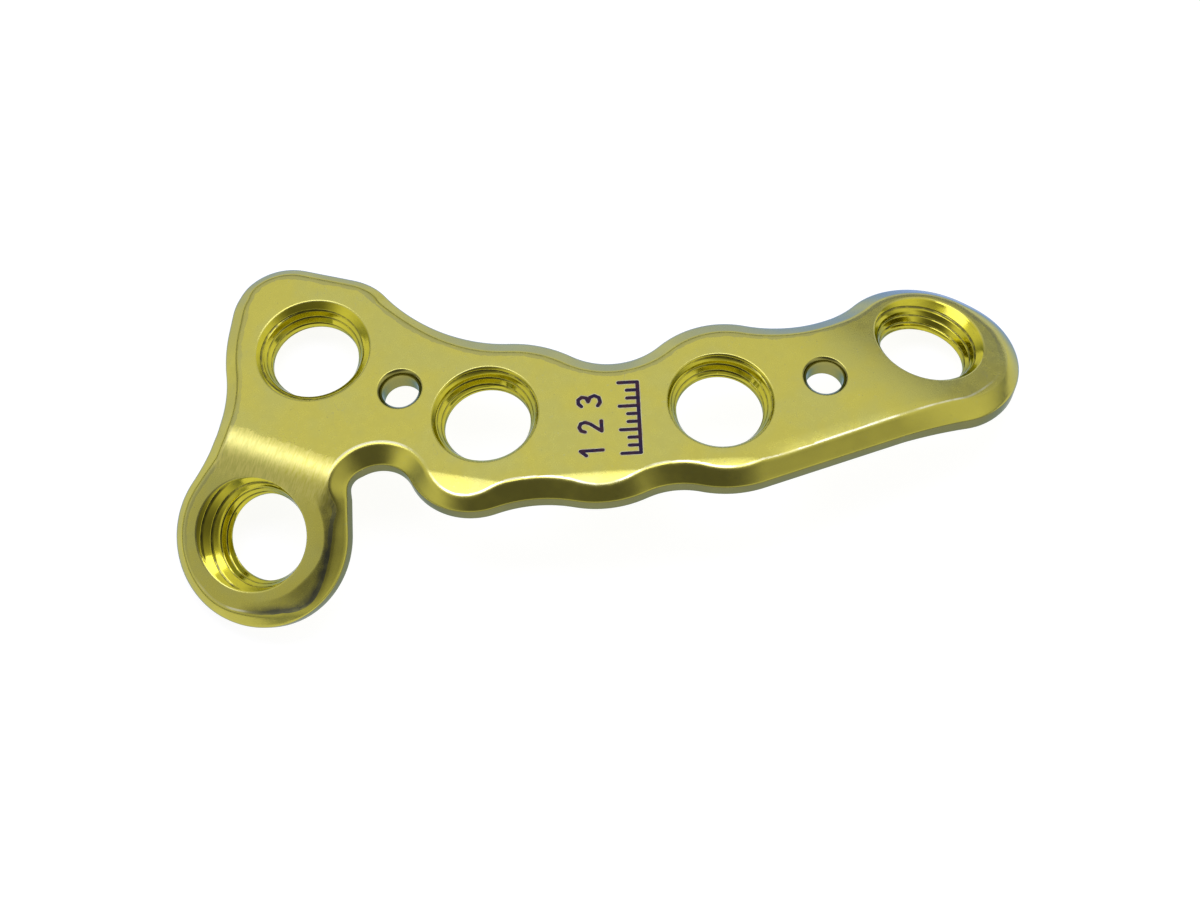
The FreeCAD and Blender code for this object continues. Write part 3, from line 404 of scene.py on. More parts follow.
ROUND = 0.13 + 0.26 * ramp(-INWARD[:, 0], 0.38, 0.8) * (RIM[:, 0] > 14)
SM = ROUND * CB / WB
row(0.12, -T)
row(0.035, -T + 0.035)
row(0.0, -T + 0.12)
row(0.0, -T + 0.36)
row(0.0, -CBS - 0.08)
row(0.012, -CBS - 0.012)
row(0.07, -depth_at(np.full(N, 0.07)))
for k in (0.25, 0.5, 0.75):
    o = 0.07 + (CREASE - ROUND - 0.07) * k
    row(o, -depth_at(o))
for k in (-1.0, -0.6, -0.2, 0.2, 0.6, 1.05):
    o = CREASE + ROUND * k
    row(o, -depth_at(o))
kinds = [UNDER, WALL, WALL, WALL, WALL, BEVEL, BEVEL, BEVEL, BEVEL, BEVEL, BEVEL, BEVEL, BEVEL, TOP, TOP]
for (a, ia), (b, ib), kd in zip(rows, rows[1:], kinds):
    M.strip(ia, ib, kd)
TOP_LOOP, BOTTOM_LOOP = rows[-1], rows[0]

# holes
COLS = 160
ROOT = 0.07
PITCH = 0.34
GROOVE_SHADE = {}                                        # painted shade: darker colour in the thread groove


def surface_axes(u, v):
    o = to_plate([[u, v, 0.0]])[0]
    z = to_plate([[u, v, 0.01]])[0] - o
    x = to_plate([[u + 0.01, v, 0.0]])[0] - o
    z /= np.linalg.norm(z)
    x -= z * (x @ z); x /= np.linalg.norm(x)
    return o, x, np.cross(z, x), z


def solve(fun, a, b):
    a, b = np.full(COLS, a, float), np.full(COLS, b, float)
    for _ in range(40):
        m = (a + b) / 2
        neg = fun(m) < 0
        a, b = np.where(neg, m, a), np.where(neg, b, m)
    return (a + b) / 2


def hole(u, v, rim, tilt=0.0, to=0.0, wire=False, start=0.16):
    o, x, y, z = surface_axes(u, v)
    if tilt:
        t, k = math.radians(tilt), math.radians(to)
        z2 = x * math.cos(k) * math.sin(t) + y * math.sin(k) * math.sin(t) + z * math.cos(t)
        x = x - z2 * (x @ z2); x /= np.linalg.norm(x)
        z = z2; y = np.cross(z, x)
    phi = np.arange(COLS) * 2 * math.pi / COLS
    ray = np.cos(phi)[:, None] * x + np.sin(phi)[:, None] * y
    if wire:
        r1, d1, r2, d2 = 0.945, rim - 0.945, 0.945, rim - 0.945
    else:
        r1, d1, r2, d2 = 2.53, 0.27, 2.18, 0.98

    def radius(h):
        d = -h
        cone = r1 + (rim - r1) / d1 * (d1 - d)
        if wire:
            return np.where(d < d1, cone, r1)
        return np.where(d < d1, cone, np.where(d < d2, r1 + (r2 - r1) * (d - d1) / (d2 - d1), r2))

    def at(h, r=None):
        return o + z * h[:, None] + ray * (radius(h) if r is None else r)[:, None]

    h_rim = solve(lambda h: to_flat(at(h))[:, 2], -0.75, 0.75)
    h_bot = solve(lambda h: to_flat(at(h))[:, 2] + T, -T - 1.0, -0.78)
    edge = to_flat(at(h_rim))[:, :2]
    c2 = to_flat(o[None])[0, :2]
    out = edge - c2; out /= np.linalg.norm(out, axis=1)[:, None]
    e = 0.05 if wire else 0.065
    p0 = edge + out * e
    q0 = surf(p0, 0.0)
    i0 = M.add(q0, p0)
    q2 = at(h_rim - e)
    mid = at(h_rim)
    q1 = 0.5 * mid + 0.25 * q0 + 0.25 * q2
    qa1 = 0.44 * q0 + 0.5 * mid + 0.06 * q2
    qb1 = 0.06 * q0 + 0.5 * mid + 0.44 * q2
    ringed = lambda h: np.stack([phi, -h], 1)
    ia1 = M.add(qa1, edge)
    i1, ib1, i2 = M.add(q1, edge), M.add(qb1, edge, ringed(h_rim - e / 2)), M.add(q2, edge, ringed(h_rim - e))
    M.strip(i0, ia1, TOP); M.strip(ia1, i1, TOP); M.strip(i1, ib1, TOP); M.strip(ib1, i2, HOLE if not wire else BORE)
    be = to_flat(at(h_bot))[:, :2]
    c3 = to_flat((o - z * T)[None])[0, :2]
    ob = be - c3; ob /= np.linalg.norm(ob, axis=1)[:, None]
    pb = be + ob * 0.05
    qb = surf(pb, -T)
    ib = M.add(qb, pb)
    qa = at(h_bot + 0.05)
    qm = 0.6 * at(h_bot) + 0.2 * qa + 0.2 * qb
    im = M.add(qm, be, ringed(h_bot))
    top, bot = h_rim - e, h_bot + 0.05
    if wire:
        hs = [top, np.full(COLS, -d1), top * 0 - 0.6, bot]
        prev = i2
        for h in hs[1:]:
            cur = M.add(at(h), edge, ringed(h))
            M.strip(prev, cur, BORE)
            prev = cur
        M.strip(prev, im, BORE); M.strip(im, ib, UNDER)
        return (p0, i0), (pb, ib)
    # screw thread: a right-handed helix, seen as wide lands parted by a narrow groove in the tapered wall
    turn0 = math.atan2(*(np.array([0.0, 1.0, 0.0]) @ np.stack([y, x], 1)))
    cw = ((turn0 - phi) / (2 * math.pi)) % 1.0
    frac = [-0.18, -0.13, -0.065, 0.0, 0.065, 0.13, 0.18, 0.5]
    lattice = np.array([k + f for k in range(-4, 7) for f in frac])
    order = np.argsort(cw)                       # columns from the seam at the start of the helix
    cols = list(order) + [order[0]]
    cwc = np.r_[cw[order], cw[order[0]] + 1.0]
    marks = [top, np.minimum(top, -d1), np.minimum(top, -d2), bot]
    marks = [np.maximum(m, bot) for m in marks]
    grid = {}
    made = {}

    def vertex(c, h, ph):
        key = (int(c), round(float(h), 5))
        if key in made:
            return made[key]
        d = -h
        g = (d - start) / PITCH - ph             # phase from the bottom of the groove
        g = g - round(g)
        fade = min(1.0, max(0.0, (d + top[c] + 0.0) / 0.06)) * min(1.0, max(0.0, (h - bot[c]) / 0.03))
        depth = ROOT * max(0.0, 1 - abs(g) / 0.13) * fade
        rr = float(radius(np.array([h]))[0]) + depth
        q = o + z * h + ray[c] * rr
        made[key] = M.add(q, edge[c], (phi[c], d))[0]
        # painted shade in the thread groove
        GROOVE_SHADE[int(made[key])] = (1.0 if abs(g) < 0.10 else 0.2 if abs(g) < 0.15 else 0.0) * fade
        return made[key]

    for c in range(COLS):
        made[(c, round(float(top[c]), 5))] = i2[c]
    for zn in range(3):
        a, b = marks[zn], marks[zn + 1]
        for n in range(len(cols) - 1):
            c, c1 = cols[n], cols[n + 1]
            A = np.clip(-(start + PITCH * (lattice + cwc[n])), b[c], a[c])
            B = np.clip(-(start + PITCH * (lattice + cwc[n + 1])), b[c1], a[c1])
            for i in range(len(lattice) - 1):
                if A[i] == A[i + 1] and B[i] == B[i + 1]:
                    continue
                v0, v1 = vertex(c, A[i], cwc[n]), vertex(c, A[i + 1], cwc[n])
                w0, w1 = vertex(c1, B[i], cwc[n + 1]), vertex(c1, B[i + 1], cwc[n + 1])
                poly = [v0, v1, w1, w0]
                seen = []
                for k in poly:
                    if k not in seen:
                        seen.append(k)
                if len(seen) > 2:
                    M.f.append(tuple(seen)); M.mat.append(HOLE)
    low = np.array([made[(c, round(float(bot[c]), 5))] for c in range(COLS)])
    M.strip(low, im, HOLE); M.strip(im, ib, UNDER)
    return (p0, i0), (pb, ib)


HOLES = [hole(-14.45, 5.15, 2.93, start=0.28), hole(-18.17, -4.48, 2.85, 8.4, 158.5, start=0.10), hole(-5.93, 0.20, 2.78, start=0.15),
         hole(5.92, 0.16, 2.75, start=0.13), hole(16.71, 4.40, 2.86, 3.5, 60.0, start=0.17),
         hole(-10.16, 2.29, 1.16, wire=True), hole(11.25, 1.63, 1.16, wire=True)]


# top and bottom faces
def inside(poly, pts):
    pts = np.asarray(pts, float)
    res = np.zeros(len(pts), bool)
    x, y = pts[:, 0], pts[:, 1]
    a, b = poly, np.roll(poly, -1, 0)
    for (x0, y0), (x1, y1) in zip(a, b):
        if y0 == y1:
            continue
        c = ((y0 > y) != (y1 > y)) & (x < (x1 - x0) * (y - y0) / (y1 - y0) + x0)
        res ^= c
    return res


def clear(pts, loops, gap):
    keep = np.ones(len(pts), bool)
    for lp in loops:
        for k in range(0, len(pts), 400):
            d = np.hypot(pts[k:k + 400, None, 0] - lp[None, :, 0], pts[k:k + 400, None, 1] - lp[None, :, 1]).min(1)
            keep[k:k + 400] &= d > gap
    return keep


# generic laser marks: ticks and plain digits, as strokes (start, end) in flat mm
def stroke_poly(p, q, r, n=8):
    p, q = np.array(p), np.array(q)
    d = q - p; L = np.hypot(*d)
    d = d / L if L > 0 else np.array([1.0, 0.0])
    a0 = math.atan2(d[1], d[0])
    pts = [q + r * np.array([math.cos(a0 - math.pi / 2 + math.pi * k / n), math.sin(a0 - math.pi / 2 + math.pi * k / n)]) for k in range(n + 1)]
    pts += [p + r * np.array([math.cos(a0 + math.pi / 2 + math.pi * k / n), math.sin(a0 + math.pi / 2 + math.pi * k / n)]) for k in range(n + 1)]
    return np.array(pts)


DIGITS = {
    "1": [[(0.15, 0.75), (0.4, 1.0), (0.4, 0.0)]],
    "2": [[(0.05, 0.75), (0.12, 0.92), (0.3, 1.0), (0.5, 0.92), (0.55, 0.72), (0.45, 0.5), (0.05, 0.0), (0.58, 0.0)]],
    "3": [[(0.05, 0.85), (0.2, 0.98), (0.4, 0.98), (0.53, 0.82), (0.48, 0.62), (0.28, 0.54), (0.5, 0.45), (0.58, 0.25), (0.46, 0.05), (0.22, 0.0), (0.04, 0.12)]],
}


def digit_strokes(ch, origin, across, up, h):
    out = []
    for line in DIGITS[ch]:
        pts = [np.array(origin) + np.array(across) * (a * h) + np.array(up) * (b * h) for a, b in line]
        out += list(zip(pts, pts[1:]))
    return out


STROKES = []
# A row of plain digits beside a graduated scale; both run across the plate, read from the near side up.
for i, ch in enumerate("123"):
    STROKES += digit_strokes(ch, (-0.12, -2.93 + 1.5 * i), (0.0, 1.0), (-1.0, 0.0), 1.12)
for i in range(10):
    y = -2.75 + 0.46 * i
    STROKES.append((np.array([1.78, y]), np.array([1.78 - (0.95 if i % 3 == 0 else 0.55), y])))
STROKES.append((np.array([1.78, -2.75]), np.array([1.78, -2.75 + 0.46 * 9])))
LINE_R, HALO_R = 0.095, 0.135


def near_strokes(pts, r):
    pts = np.asarray(pts, float)
    hit = np.zeros(len(pts), bool)
    for p, q in STROKES:
        d = q - p; L2 = d @ d
        t = np.clip(((pts - p) @ d) / L2, 0, 1) if L2 > 0 else np.zeros(len(pts))
        hit |= np.hypot(*(pts - p - t[:, None] * d).T) < r
    return hit


def fill(outer, inner, level, kind, marks_on):
    """Triangles between the outer loop and the hole loops, bent exactly along the folds and the arch."""
    loops = [outer[0]] + [h[0] for h in inner]
    verts, ids, edges = [], [], []
    for p, idx in [outer] + inner:
        k = len(verts)
        verts += [tuple(q) for q in p]; ids += list(idx)
        edges += [(k + i, k + (i + 1) % len(p)) for i in range(len(p))]
    fixed = len(verts)

    def polyline(pts, closed=False, gap=0.06):
        pts = np.asarray(pts, float)
        ok = inside(loops[0], pts) & clear(pts, loops, gap)
        for h in loops[1:]:
            ok &= ~inside(h, pts)
        index = {}
        for i in range(len(pts)):
            if ok[i]:
                index[i] = len(verts); verts.append(tuple(pts[i])); ids.append(-1)
        m = len(pts)
        for i in range(m if closed else m - 1):
            j = (i + 1) % m
            if i in index and j in index:
                edges.append((index[i], index[j]))

    def seg(a, b, step):
        a, b = np.array(a), np.array(b)
        n = max(2, int(np.hypot(*(b - a)) / step))
        return a + (b - a) * np.linspace(0, 1, n + 1)[:, None]

    for x in np.arange(-LA, LA + 0.01, 2 * LA / 24):
        polyline(seg((x, -6), (x, 6), 0.45), gap=0.12)
    for k in range(0, 17):
        s = TAB.s0 + TAB.L * k / 16
        polyline(seg(TAB.d * -20 + TAB.m * s, TAB.d * -8.6 + TAB.m * s, 0.3), gap=0.07)
    for k in range(0, 13):
        s = END.s0 + END.L * k / 12
        polyline(seg(END.d * 0 + END.m * s, END.d * 18 + END.m * s, 0.4), gap=0.1)
    if kind == TOP:
        for o, e, n, a, b, *_ in FACETS:
            for x in (-EASE, 0.0, EASE, 0.2, 0.35, 0.5, 0.7, 0.9, 1.1, 1.35):
                polyline(seg(o + e * a + n * x, o + e * b + n * x, 0.14), gap=0.035)
        for x in (-EASE, 0.0, EASE, 0.2, 0.35, 0.5, 0.7, 0.9, 1.1):
            t = np.radians(np.arange(-118.0, 25.0, 2.2))
            polyline(np.array(tab_c) + (band_start(np.degrees(t)) + x)[:, None] * np.stack([np.cos(t), np.sin(t)], 1), gap=0.035)
    if marks_on:
        for p, q in STROKES:
            for r in (HALO_R, LINE_R):
                polyline(stroke_poly(p, q, r), closed=True, gap=0.0)
    # loose points keep the flat areas evenly divided
    gx, gy = np.meshgrid(np.arange(-23, 22, 0.8), np.arange(-10, 11, 0.8))
    gp = np.stack([gx.ravel() + 0.4 * (np.arange(gx.size) // gx.shape[1] % 2), gy.ravel()], 1)
    gp = gp[inside(loops[0], gp) & clear(gp, loops, 0.4)]
    for h in loops[1:]:
        gp = gp[~inside(h, gp)]
    if len(verts) > fixed:
        vv = np.array(verts[fixed:])
        gp = gp[clear(gp, [vv], 0.3)]
    for q in gp:
        verts.append(tuple(q)); ids.append(-1)
    out = delaunay_2d_cdt([Vector(v) for v in verts], edges, [], 0, 1e-6)
    nv = np.array([tuple(v) for v in out[0]])
    origin = out[3]
    index = np.full(len(nv), -1)
    for i, src in enumerate(origin):
        for sidx in src:
            if sidx < fixed:
                index[i] = ids[sidx]
                break
    new = np.where(index < 0)[0]
    w = (-drop(nv[new]) if kind == TOP else np.full(len(new), -T))
    index[new] = M.add(surf(nv[new], w), nv[new])
    tri = np.array([t for t in out[2] if len(t) == 3])
    cen = nv[tri].mean(1)
    keep = inside(loops[0], cen)
    for h in loops[1:]:
        keep &= ~inside(h, cen)
    tri, cen = tri[keep], cen[keep]
    if marks_on:
        line, halo = near_strokes(cen, LINE_R), near_strokes(cen, HALO_R)
    for n, t in enumerate(tri):
        a, b, c = nv[t]
        ccw = (b[0] - a[0]) * (c[1] - a[1]) - (b[1] - a[1]) * (c[0] - a[0]) > 0
        f = tuple(index[k] for k in (t if ccw else t[::-1]))
        if kind != TOP:
            f = f[::-1]
        if len(set(f)) < 3:
            continue
        M.f.append(f)
        M.mat.append(kind if not marks_on else (MARK if line[n] else HALO if halo[n] else kind))


fill(TOP_LOOP, [h[0] for h in HOLES], 0.0, TOP, True)
fill(BOTTOM_LOOP, [h[1] for h in HOLES], -T, UNDER, False)

V = rest(np.concatenate(M.v))
FLAT = np.concatenate(M.uv)
RING = np.concatenate(M.ring)
mesh = bpy.data.meshes.new("bone_plate_skin")
mesh.from_pydata([tuple(v) for v in V], [], [tuple(int(k) for k in f) for f in M.f])
for k, f in zip(M.mat, mesh.polygons):
    f.material_index = k
    f.use_smooth = True

# Vertex normals weighted by area, so that the flats stay flat and the small roundings carry the turn.
acc = np.zeros_like(V)
for f in M.f:
    q = V[list(f)]
    nrm = np.zeros(3)
    for a in range(1, len(q) - 1):
        nrm += np.cross(q[a] - q[0], q[a + 1] - q[0])
    for k in f:
        acc[k] += nrm
acc /= np.maximum(np.linalg.norm(acc, axis=1), 1e-20)[:, None]
mesh.normals_split_custom_set_from_vertices([tuple(n) for n in acc])

# Flat coordinates (mm) as UVs; in the holes the arc length and the depth.
uvl = mesh.uv_layers.new(name="flat")
uv = np.zeros((len(mesh.loops), 2))
n = 0
for f, k in zip(M.f, M.mat):
    m = len(f)
    if k in (HOLE, BORE):
        a = RING[list(f)]
        ang = a[0, 0] + (a[:, 0] - a[0, 0] + math.pi) % (2 * math.pi) - math.pi
        uv[n:n + m] = np.stack([ang * 2.3, a[:, 1]], 1)
    else:
        uv[n:n + m] = FLAT[list(f)]
    n += m
uvl.data.foreach_set("uv", uv.ravel())


# Distance to the nearest edge of the top face, along the folds and the facets, for the painted shade and painted
# highlight on the creases and for finish.
def distance(pts, loop):
    d = np.empty(len(pts))
    for k in range(0, len(pts), 500):
        d[k:k + 500] = np.hypot(pts[k:k + 500, None, 0] - loop[None, :, 0], pts[k:k + 500, None, 1] - loop[None, :, 1]).min(1)
    return d


edge_d = distance(FLAT, TOP_LOOP[0])
rim_d = np.min([distance(FLAT, h[0][0]) for h in HOLES], axis=0)
tab_s = FLAT @ TAB.m
tab_on = masks(FLAT)[0]
fold = np.where(tab_on, tab_s, 0.0)
groove_shade = np.zeros(len(V))
for k, a in GROOVE_SHADE.items():
    groove_shade[k] = a
nearest = np.empty(len(FLAT), int)
for k in range(0, len(FLAT), 500):
    nearest[k:k + 500] = np.hypot(FLAT[k:k + 500, None, 0] - TOP_LOOP[0][None, :, 0], FLAT[k:k + 500, None, 1] - TOP_LOOP[0][None, :, 1]).argmin(1)
# the far side of the crease gets a painted shade line, the near side a painted highlight line
far_side = np.clip(0.45 - 1.5 * INWARD[nearest, 1], 0, 1)
q = FLAT - np.array(tab_c)
az = np.degrees(np.arctan2(q[:, 1], q[:, 0]))
far_side = np.maximum(far_side, 1.6 * ramp(az, -118, -90) * (1 - ramp(az, 5, 25)) * (np.hypot(q[:, 0], q[:, 1]) < 5))
near_side = np.clip(1.6 * INWARD[nearest, 1] - 0.5, 0, 1) * (1 - np.clip(far_side, 0, 1))
# painted shade near the outer edge of the band round the tab
tab_edge_shade = ramp(az, -122, -84) * (1 - ramp(az, -26, 10)) * (np.hypot(q[:, 0], q[:, 1]) < 5) * (1 - ramp(edge_d, 0.10, 0.36))
for name, val in (("edge", edge_d), ("rim", rim_d), ("fold", fold), ("groove_shade", groove_shade), ("far", far_side), ("near", near_side), ("tab_edge_shade", tab_edge_shade),
                  ("lip", (RING[:, 1] > 0) * (1 - ramp(RING[:, 1], 0.24, 0.30)))):
    at = mesh.attributes.new(name, "FLOAT", "POINT")
    at.data.foreach_set("value", val.astype(np.float32))

piece = bpy.data.objects.new("bone_plate_skin", mesh)
bpy.context.scene.collection.objects.link(piece)
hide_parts("bone_plate")
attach(piece, "root")


# ----------------------------------------------------------------- materials
def maker(nt):
    def node(kind, ins=None, out=0, **props):
        n = nt.nodes.new(kind)
        for k, v in props.items():
            setattr(n, k, v)
        for k, v in (ins or {}).items():
            if isinstance(v, bpy.types.NodeSocket):
                nt.links.new(v, n.inputs[k])
            else:
                n.inputs[k].default_value = v
        return n.outputs[out]
    return node


def mix(node, f, a, b):
    return node("ShaderNodeMix", {0: f, 6: a, 7: b}, 2, data_type="RGBA")


def span(node, v, a, b, lo=0.0, hi=1.0, smooth=True):
    return node("ShaderNodeMapRange", {"Value": v, "From Min": a, "From Max": b, "To Min": lo, "To Max": hi},
                interpolation_type="SMOOTHSTEP" if smooth else "LINEAR")


def scaled(node, coord, k):
    return node("ShaderNodeMapping", {"Vector": coord, "Scale": k})


def noise(node, coord, scale, detail=3.0, rough=0.5, distort=0.0):
    return node("ShaderNodeTexNoise", {"Vector": coord, "Scale": scale, "Detail": detail, "Roughness": rough, "Distortion": distort})


def mul(node, a, b):
    return node("ShaderNodeMath", {0: a, 1: b}, operation="MULTIPLY")


def add(node, a, b):
    return node("ShaderNodeMath", {0: a, 1: b}, operation="ADD")


GOLD = (0.450, 0.404, 0.024, 1)
GOLD_PALE = (0.420, 0.392, 0.044, 1)
GOLD_GREY = (0.36, 0.37, 0.13, 1)
# the side walls get a darker copy of the gold as painted shade
WALL_SHADE = (0.150, 0.145, 0.030, 1)
FILM = (0.00, 0.25, 1.00, 1)                # tint of the oxide film at grazing angles
FILM_LOW = (0.22, 0.34, 0.30, 1)            # the same on walls and in holes


def metal(name, base, rough=0.30, bump=0.25, brush=None, speckle=0.5, coat=1.0, finish_and_painted_light=False, coat_rough=0.26, grain=26.0, film=None):
    mat = bpy.data.materials.new(name)
    mat.use_nodes = True
    nt = mat.node_tree
    nt.nodes.clear()
    node = maker(nt)
    obj = node("ShaderNodeTexCoord", out=3)
    mm = scaled(node, obj, (1000, 1000, 1000))
    uvc = node("ShaderNodeUVMap", uv_map="flat")
    # slow change of tone, grey-blue speckles and small scratches
    cloud = noise(node, mm, 0.30, 3.0, 0.55)
    col = mix(node, span(node, cloud, 0.40, 0.62), base, GOLD_PALE if base == GOLD else tuple(c * 1.12 for c in base[:3]) + (1,))
    fine = noise(node, mm, 5.5, 5.0, 0.65)
    patch = noise(node, mm, 0.8, 2.0, 0.5)
    spot = mul(node, span(node, fine, 0.60, 0.70), span(node, patch, 0.45, 0.62, 0.15, 1.0))
    col = mix(node, mul(node, spot, speckle), col, GOLD_GREY)
    pit = noise(node, mm, 9.0, 2.0, 0.6)
    col = mix(node, mul(node, span(node, pit, 0.715, 0.76), 0.7), col, (0.10, 0.11, 0.06, 1))
    height = noise(node, mm, grain, 3.0, 0.6)
    rough_v = span(node, noise(node, mm, 2.2, 4.0, 0.6), 0.3, 0.7, rough * 0.86, rough * 1.16)
    if finish_and_painted_light:
        # painted shade: a dark line along the outer crease of the top face, on the far side only; and a pale thin ring
        # at the hole rims
        e = node("ShaderNodeAttribute", out=2, attribute_name="edge")
        r = node("ShaderNodeAttribute", out=2, attribute_name="rim")
        wob = mul(node, span(node, noise(node, mm, 1.6, 3.0, 0.6), 0.3, 0.7, 0.03, 0.16, False), 1.0)
        line = node("ShaderNodeMath", {0: e, 1: wob}, operation="LESS_THAN")
        far = node("ShaderNodeAttribute", out=2, attribute_name="far")
        col = mix(node, mul(node, mul(node, line, far), 0.42), col, (0.16, 0.17, 0.07, 1))
        # painted highlight: a pale line on the near creases
        near_crease_highlight = mul(node, node("ShaderNodeAttribute", out=2, attribute_name="near"), span(node, e, 0.03, 0.075, 1.0, 0.0))
        near_crease_highlight = mul(node, near_crease_highlight, span(node, noise(node, mm, 0.7, 3.0, 0.6), 0.38, 0.56, 0.25, 1.0))
        col = mix(node, mul(node, near_crease_highlight, 0.75), col, (0.80, 0.78, 0.52, 1))
        # painted shade: dark colour near the outer edge of the band round the tab
        tab_edge_shade = mul(node, node("ShaderNodeAttribute", out=2, attribute_name="tab_edge_shade"), span(node, noise(node, mm, 1.3, 4.0, 0.65), 0.34, 0.60, 0.45, 1.0))
        col = mix(node, mul(node, tab_edge_shade, 0.85), col, (0.055, 0.055, 0.018, 1))
        halo = mul(node, span(node, r, 0.0, 0.55, 1.0, 0.0), span(node, noise(node, mm, 0.9, 3.0, 0.6), 0.40, 0.62))
        col = mix(node, mul(node, halo, 0.12), col, GOLD_GREY)
        # brushed band on the fold of the tab
        s = node("ShaderNodeAttribute", out=2, attribute_name="fold")
        edge_n = span(node, noise(node, mm, 2.6, 4.0, 0.7), 0.3, 0.7, -0.14, 0.14, False)
        s2 = add(node, s, edge_n)
        band = mul(node, span(node, s2, 7.62, 7.72), span(node, s2, 9.6, 10.8, 1.0, 0.0))
        ang = -math.radians(-28.5)
        rot = node("ShaderNodeMapping", {"Vector": uvc, "Rotation": (0, 0, ang), "Scale": (1, 1, 1)})
        streak = noise(node, scaled(node, rot, (11.0, 1.5, 1.0)), 1.0, 4.0, 0.7)
        blast = noise(node, mm, 11.0, 3.0, 0.7)
        both = add(node, mul(node, streak, 1.3), mul(node, blast, 0.5))
        height = add(node, height, mul(node, band, mul(node, both, 2.2)))
        rough_v = add(node, rough_v, mul(node, band, 0.06))
        col = mix(node, mul(node, band, span(node, streak, 0.35, 0.65)), col, (0.56, 0.50, 0.085, 1))
    if name == "turned_hole":
        rough_v = add(node, rough_v, mul(node, node("ShaderNodeAttribute", out=2, attribute_name="lip"), 0.10))
        # painted shade: darker colour in the thread groove
        col = mix(node, mul(node, node("ShaderNodeAttribute", out=2, attribute_name="groove_shade"), 0.85), col, (0.045, 0.042, 0.006, 1))
    if brush is not None:
        streak = noise(node, scaled(node, uvc, brush), 1.0, 4.0, 0.65)
        height = add(node, mul(node, height, 0.6), mul(node, streak, 1.0))
        col = mix(node, span(node, streak, 0.42, 0.66, 0.0, 0.5), col, tuple(min(1, c * 1.15 + 0.01) for c in base[:3]) + (1,))
    # a few thin scratches
    wave = node("ShaderNodeTexNoise", {"Vector": scaled(node, mm, (0.9, 0.35, 0.9)), "Scale": 1.0, "Detail": 1.0, "Distortion": 1.2})
    thin = node("ShaderNodeMath", {0: wave, 1: 0.5, 2: 0.0016}, operation="COMPARE")
    gate = span(node, noise(node, mm, 0.55, 1.0, 0.5), 0.56, 0.60)
    scr = mul(node, thin, gate)
    col = mix(node, mul(node, scr, 0.35), col, (0.22, 0.22, 0.12, 1))
    height = node("ShaderNodeMath", {0: height, 1: mul(node, scr, 0.5)}, operation="SUBTRACT")
    nrm = node("ShaderNodeBump", {"Strength": bump, "Distance": 0.000012, "Height": height})
    bsdf = nt.nodes.new("ShaderNodeBsdfPrincipled")
    out = nt.nodes.new("ShaderNodeOutputMaterial")
    nt.links.new(col, bsdf.inputs["Base Color"])
    nt.links.new(rough_v, bsdf.inputs["Roughness"])
    nt.links.new(nrm, bsdf.inputs["Normal"])
    nt.links.new(nrm, bsdf.inputs["Coat Normal"])
    bsdf.inputs["Metallic"].default_value = 1.0
    bsdf.inputs["Coat Weight"].default_value = coat
    bsdf.inputs["Coat IOR"].default_value = 1.65
    bsdf.inputs["Coat Roughness"].default_value = coat_rough
    bsdf.inputs["Specular Tint"].default_value = film or FILM
    nt.links.new(bsdf.outputs[0], out.inputs[0])
    return mat


def mark_material(name, a, b, rough):
    mat = bpy.data.materials.new(name)
    mat.use_nodes = True
    nt = mat.node_tree
    nt.nodes.clear()
    node = maker(nt)
    mm = scaled(node, node("ShaderNodeTexCoord", out=3), (1000, 1000, 1000))
    v = noise(node, mm, 3.2, 3.0, 0.6)
    col = mix(node, span(node, v, 0.40, 0.60), a, b)
    bsdf = nt.nodes.new("ShaderNodeBsdfPrincipled")
    out = nt.nodes.new("ShaderNodeOutputMaterial")
    nt.links.new(col, bsdf.inputs["Base Color"])
    nt.links.new(span(node, v, 0.3, 0.7, rough * 0.8, rough * 1.2), bsdf.inputs["Roughness"])
    nt.links.new(node("ShaderNodeBump", {"Strength": 0.4, "Distance": 0.00001, "Height": noise(node, mm, 14.0, 3.0, 0.6)}), bsdf.inputs["Normal"])
    bsdf.inputs["Metallic"].default_value = 0.7
    nt.links.new(bsdf.outputs[0], out.inputs[0])
    return mat


for m in (
    metal("satin_top", GOLD, 0.25, 0.10, finish_and_painted_light=True),
    metal("bevel_face", (0.420, 0.378, 0.030, 1), 0.20, 0.14, speckle=0.55, coat=0.62),
    # side walls darkened as painted shade
    metal("side_wall_shaded", WALL_SHADE, 0.30, 0.30, speckle=0.25, coat=0.6, film=FILM_LOW),
    metal("turned_hole", (0.47, 0.42, 0.012, 1), 0.10, 0.05, brush=(3.0, 14.0, 1.0), speckle=0.05, coat=0.4, coat_rough=0.08, film=FILM_LOW),
    metal("underside", GOLD, 0.30, 0.30),
    mark_material("laser_mark", (0.010, 0.004, 0.030, 1), (0.035, 0.010, 0.020, 1), 0.45),
    mark_material("mark_edge", (0.50, 0.48, 0.24, 1), (0.36, 0.33, 0.20, 1), 0.40),
    metal("wire_bore", (0.24, 0.22, 0.035, 1), 0.16, 0.14, brush=(10.0, 0.9, 1.0), speckle=0.1, coat=0.5, coat_rough=0.12, film=(0.10, 0.30, 0.45, 1)),
):
    mesh.materials.append(m)

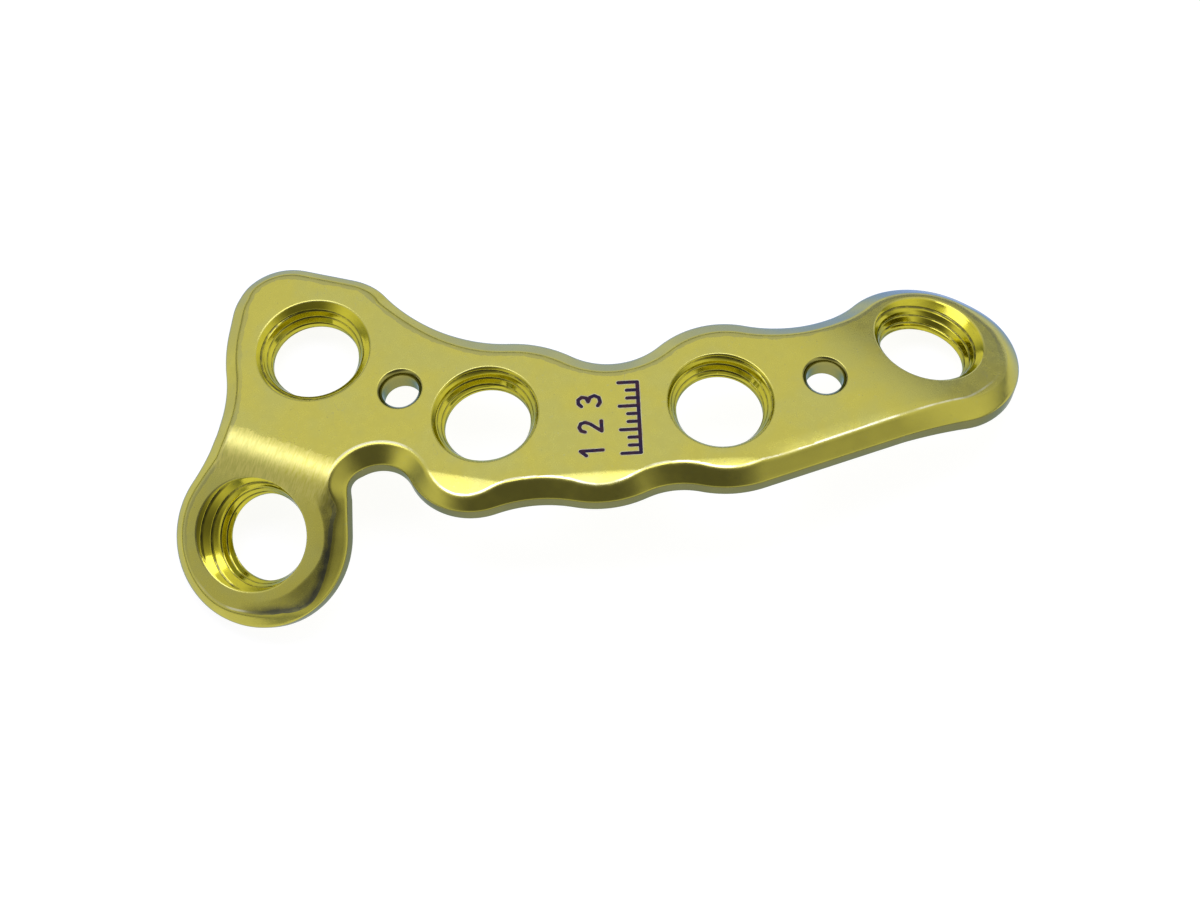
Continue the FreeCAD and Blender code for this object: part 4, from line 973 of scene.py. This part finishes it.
# ------------------------------------------------------------ floor and light
fl = bpy.data.meshes.new("floor")
fl.from_pydata([(-3, -3, 0), (3, -3, 0), (3, 3, 0), (-3, 3, 0)], [], [(0, 1, 2, 3)])
floor = bpy.data.objects.new("floor", fl)
bpy.context.scene.collection.objects.link(floor)
fm = bpy.data.materials.new("floor_paper")
fm.use_nodes = True
b = fm.node_tree.nodes["Principled BSDF"]
b.inputs["Base Color"].default_value = (0.24, 0.24, 0.24, 1)
b.inputs["Roughness"].default_value = 0.9
b.inputs["Specular IOR Level"].default_value = 0.0
b.inputs["Emission Color"].default_value = (1, 1, 1, 1)      # a light table, as for cut-out pictures
b.inputs["Emission Strength"].default_value = 0.88
fl.materials.append(fm)


def world_dir(v):
    d = np.asarray(v, float) @ REST_ROT
    return d / np.linalg.norm(d)


VIEW = world_dir((0.008, -0.519, 0.855))
RIGHT = world_dir((0.998, -0.0506, -0.034))
RIGHT -= VIEW * (RIGHT @ VIEW); RIGHT /= np.linalg.norm(RIGHT)
UP = np.cross(VIEW, RIGHT)

world = bpy.data.worlds.new("tent")
bpy.context.scene.world = world
world.use_nodes = True
wt = world.node_tree
wt.nodes.clear()
node = maker(wt)
gen = node("ShaderNodeTexCoord", out=0)
front = node("ShaderNodeVectorMath", {0: gen, 1: tuple(world_dir((-0.06, -0.645, 0.762)))}, 1, operation="DOT_PRODUCT")
dark = span(node, front, 0.62, 0.96)
height = node("ShaderNodeSeparateXYZ", {0: gen}, 2)
sky = mix(node, span(node, height, -0.05, 0.50), (0.17, 0.20, 0.30, 1), (1.02, 1.02, 1.03, 1))
sky = mix(node, dark, sky, (0.15, 0.15, 0.17, 1))
bg = wt.nodes.new("ShaderNodeBackground")
wt.links.new(sky, bg.inputs["Color"])
bg.inputs["Strength"].default_value = 1.0
wo = wt.nodes.new("ShaderNodeOutputWorld")
wt.links.new(bg.outputs[0], wo.inputs[0])


def softbox(name, direction, dist, size, radiance, tint=(1, 1, 1)):
    ld = bpy.data.lights.new(name, "AREA")
    ld.shape = "RECTANGLE"
    ld.size, ld.size_y = size
    ld.energy = radiance * math.pi * size[0] * size[1]
    ld.color = tint
    ob = bpy.data.objects.new(name, ld)
    z = np.array(direction)
    x = np.array([1.0, 0.0, 0.0]) - z * z[0]
    x /= np.linalg.norm(x)
    y = np.cross(z, x)
    c = z * dist
    ob.matrix_world = Matrix(((x[0], y[0], z[0], c[0]), (x[1], y[1], z[1], c[1]), (x[2], y[2], z[2], c[2]), (0, 0, 0, 1)))
    bpy.context.scene.collection.objects.link(ob)


softbox("key_overhead", world_dir((-0.10, 0.08, 0.985)), 0.6, (0.58, 0.24), 2.4, (0.96, 0.97, 1.45))

# --------------------------------------------------------------------- camera
D = 1.2
cam = bpy.data.cameras.new("camera")
cam.lens, cam.sensor_width, cam.clip_start, cam.clip_end = 720.0, 36.0, 0.05, 20.0
co = bpy.data.objects.new("camera", cam)
pos = REST_BASE * 0.001 + VIEW * D - RIGHT * 0.000145 - UP * 0.00213
co.matrix_world = Matrix(((RIGHT[0], UP[0], VIEW[0], pos[0]), (RIGHT[1], UP[1], VIEW[1], pos[1]),
                          (RIGHT[2], UP[2], VIEW[2], pos[2]), (0, 0, 0, 1)))
bpy.context.scene.collection.objects.link(co)
bpy.context.scene.camera = co
bpy.context.scene.view_settings.view_transform = "Standard"
bpy.context.scene.view_settings.look = "None"
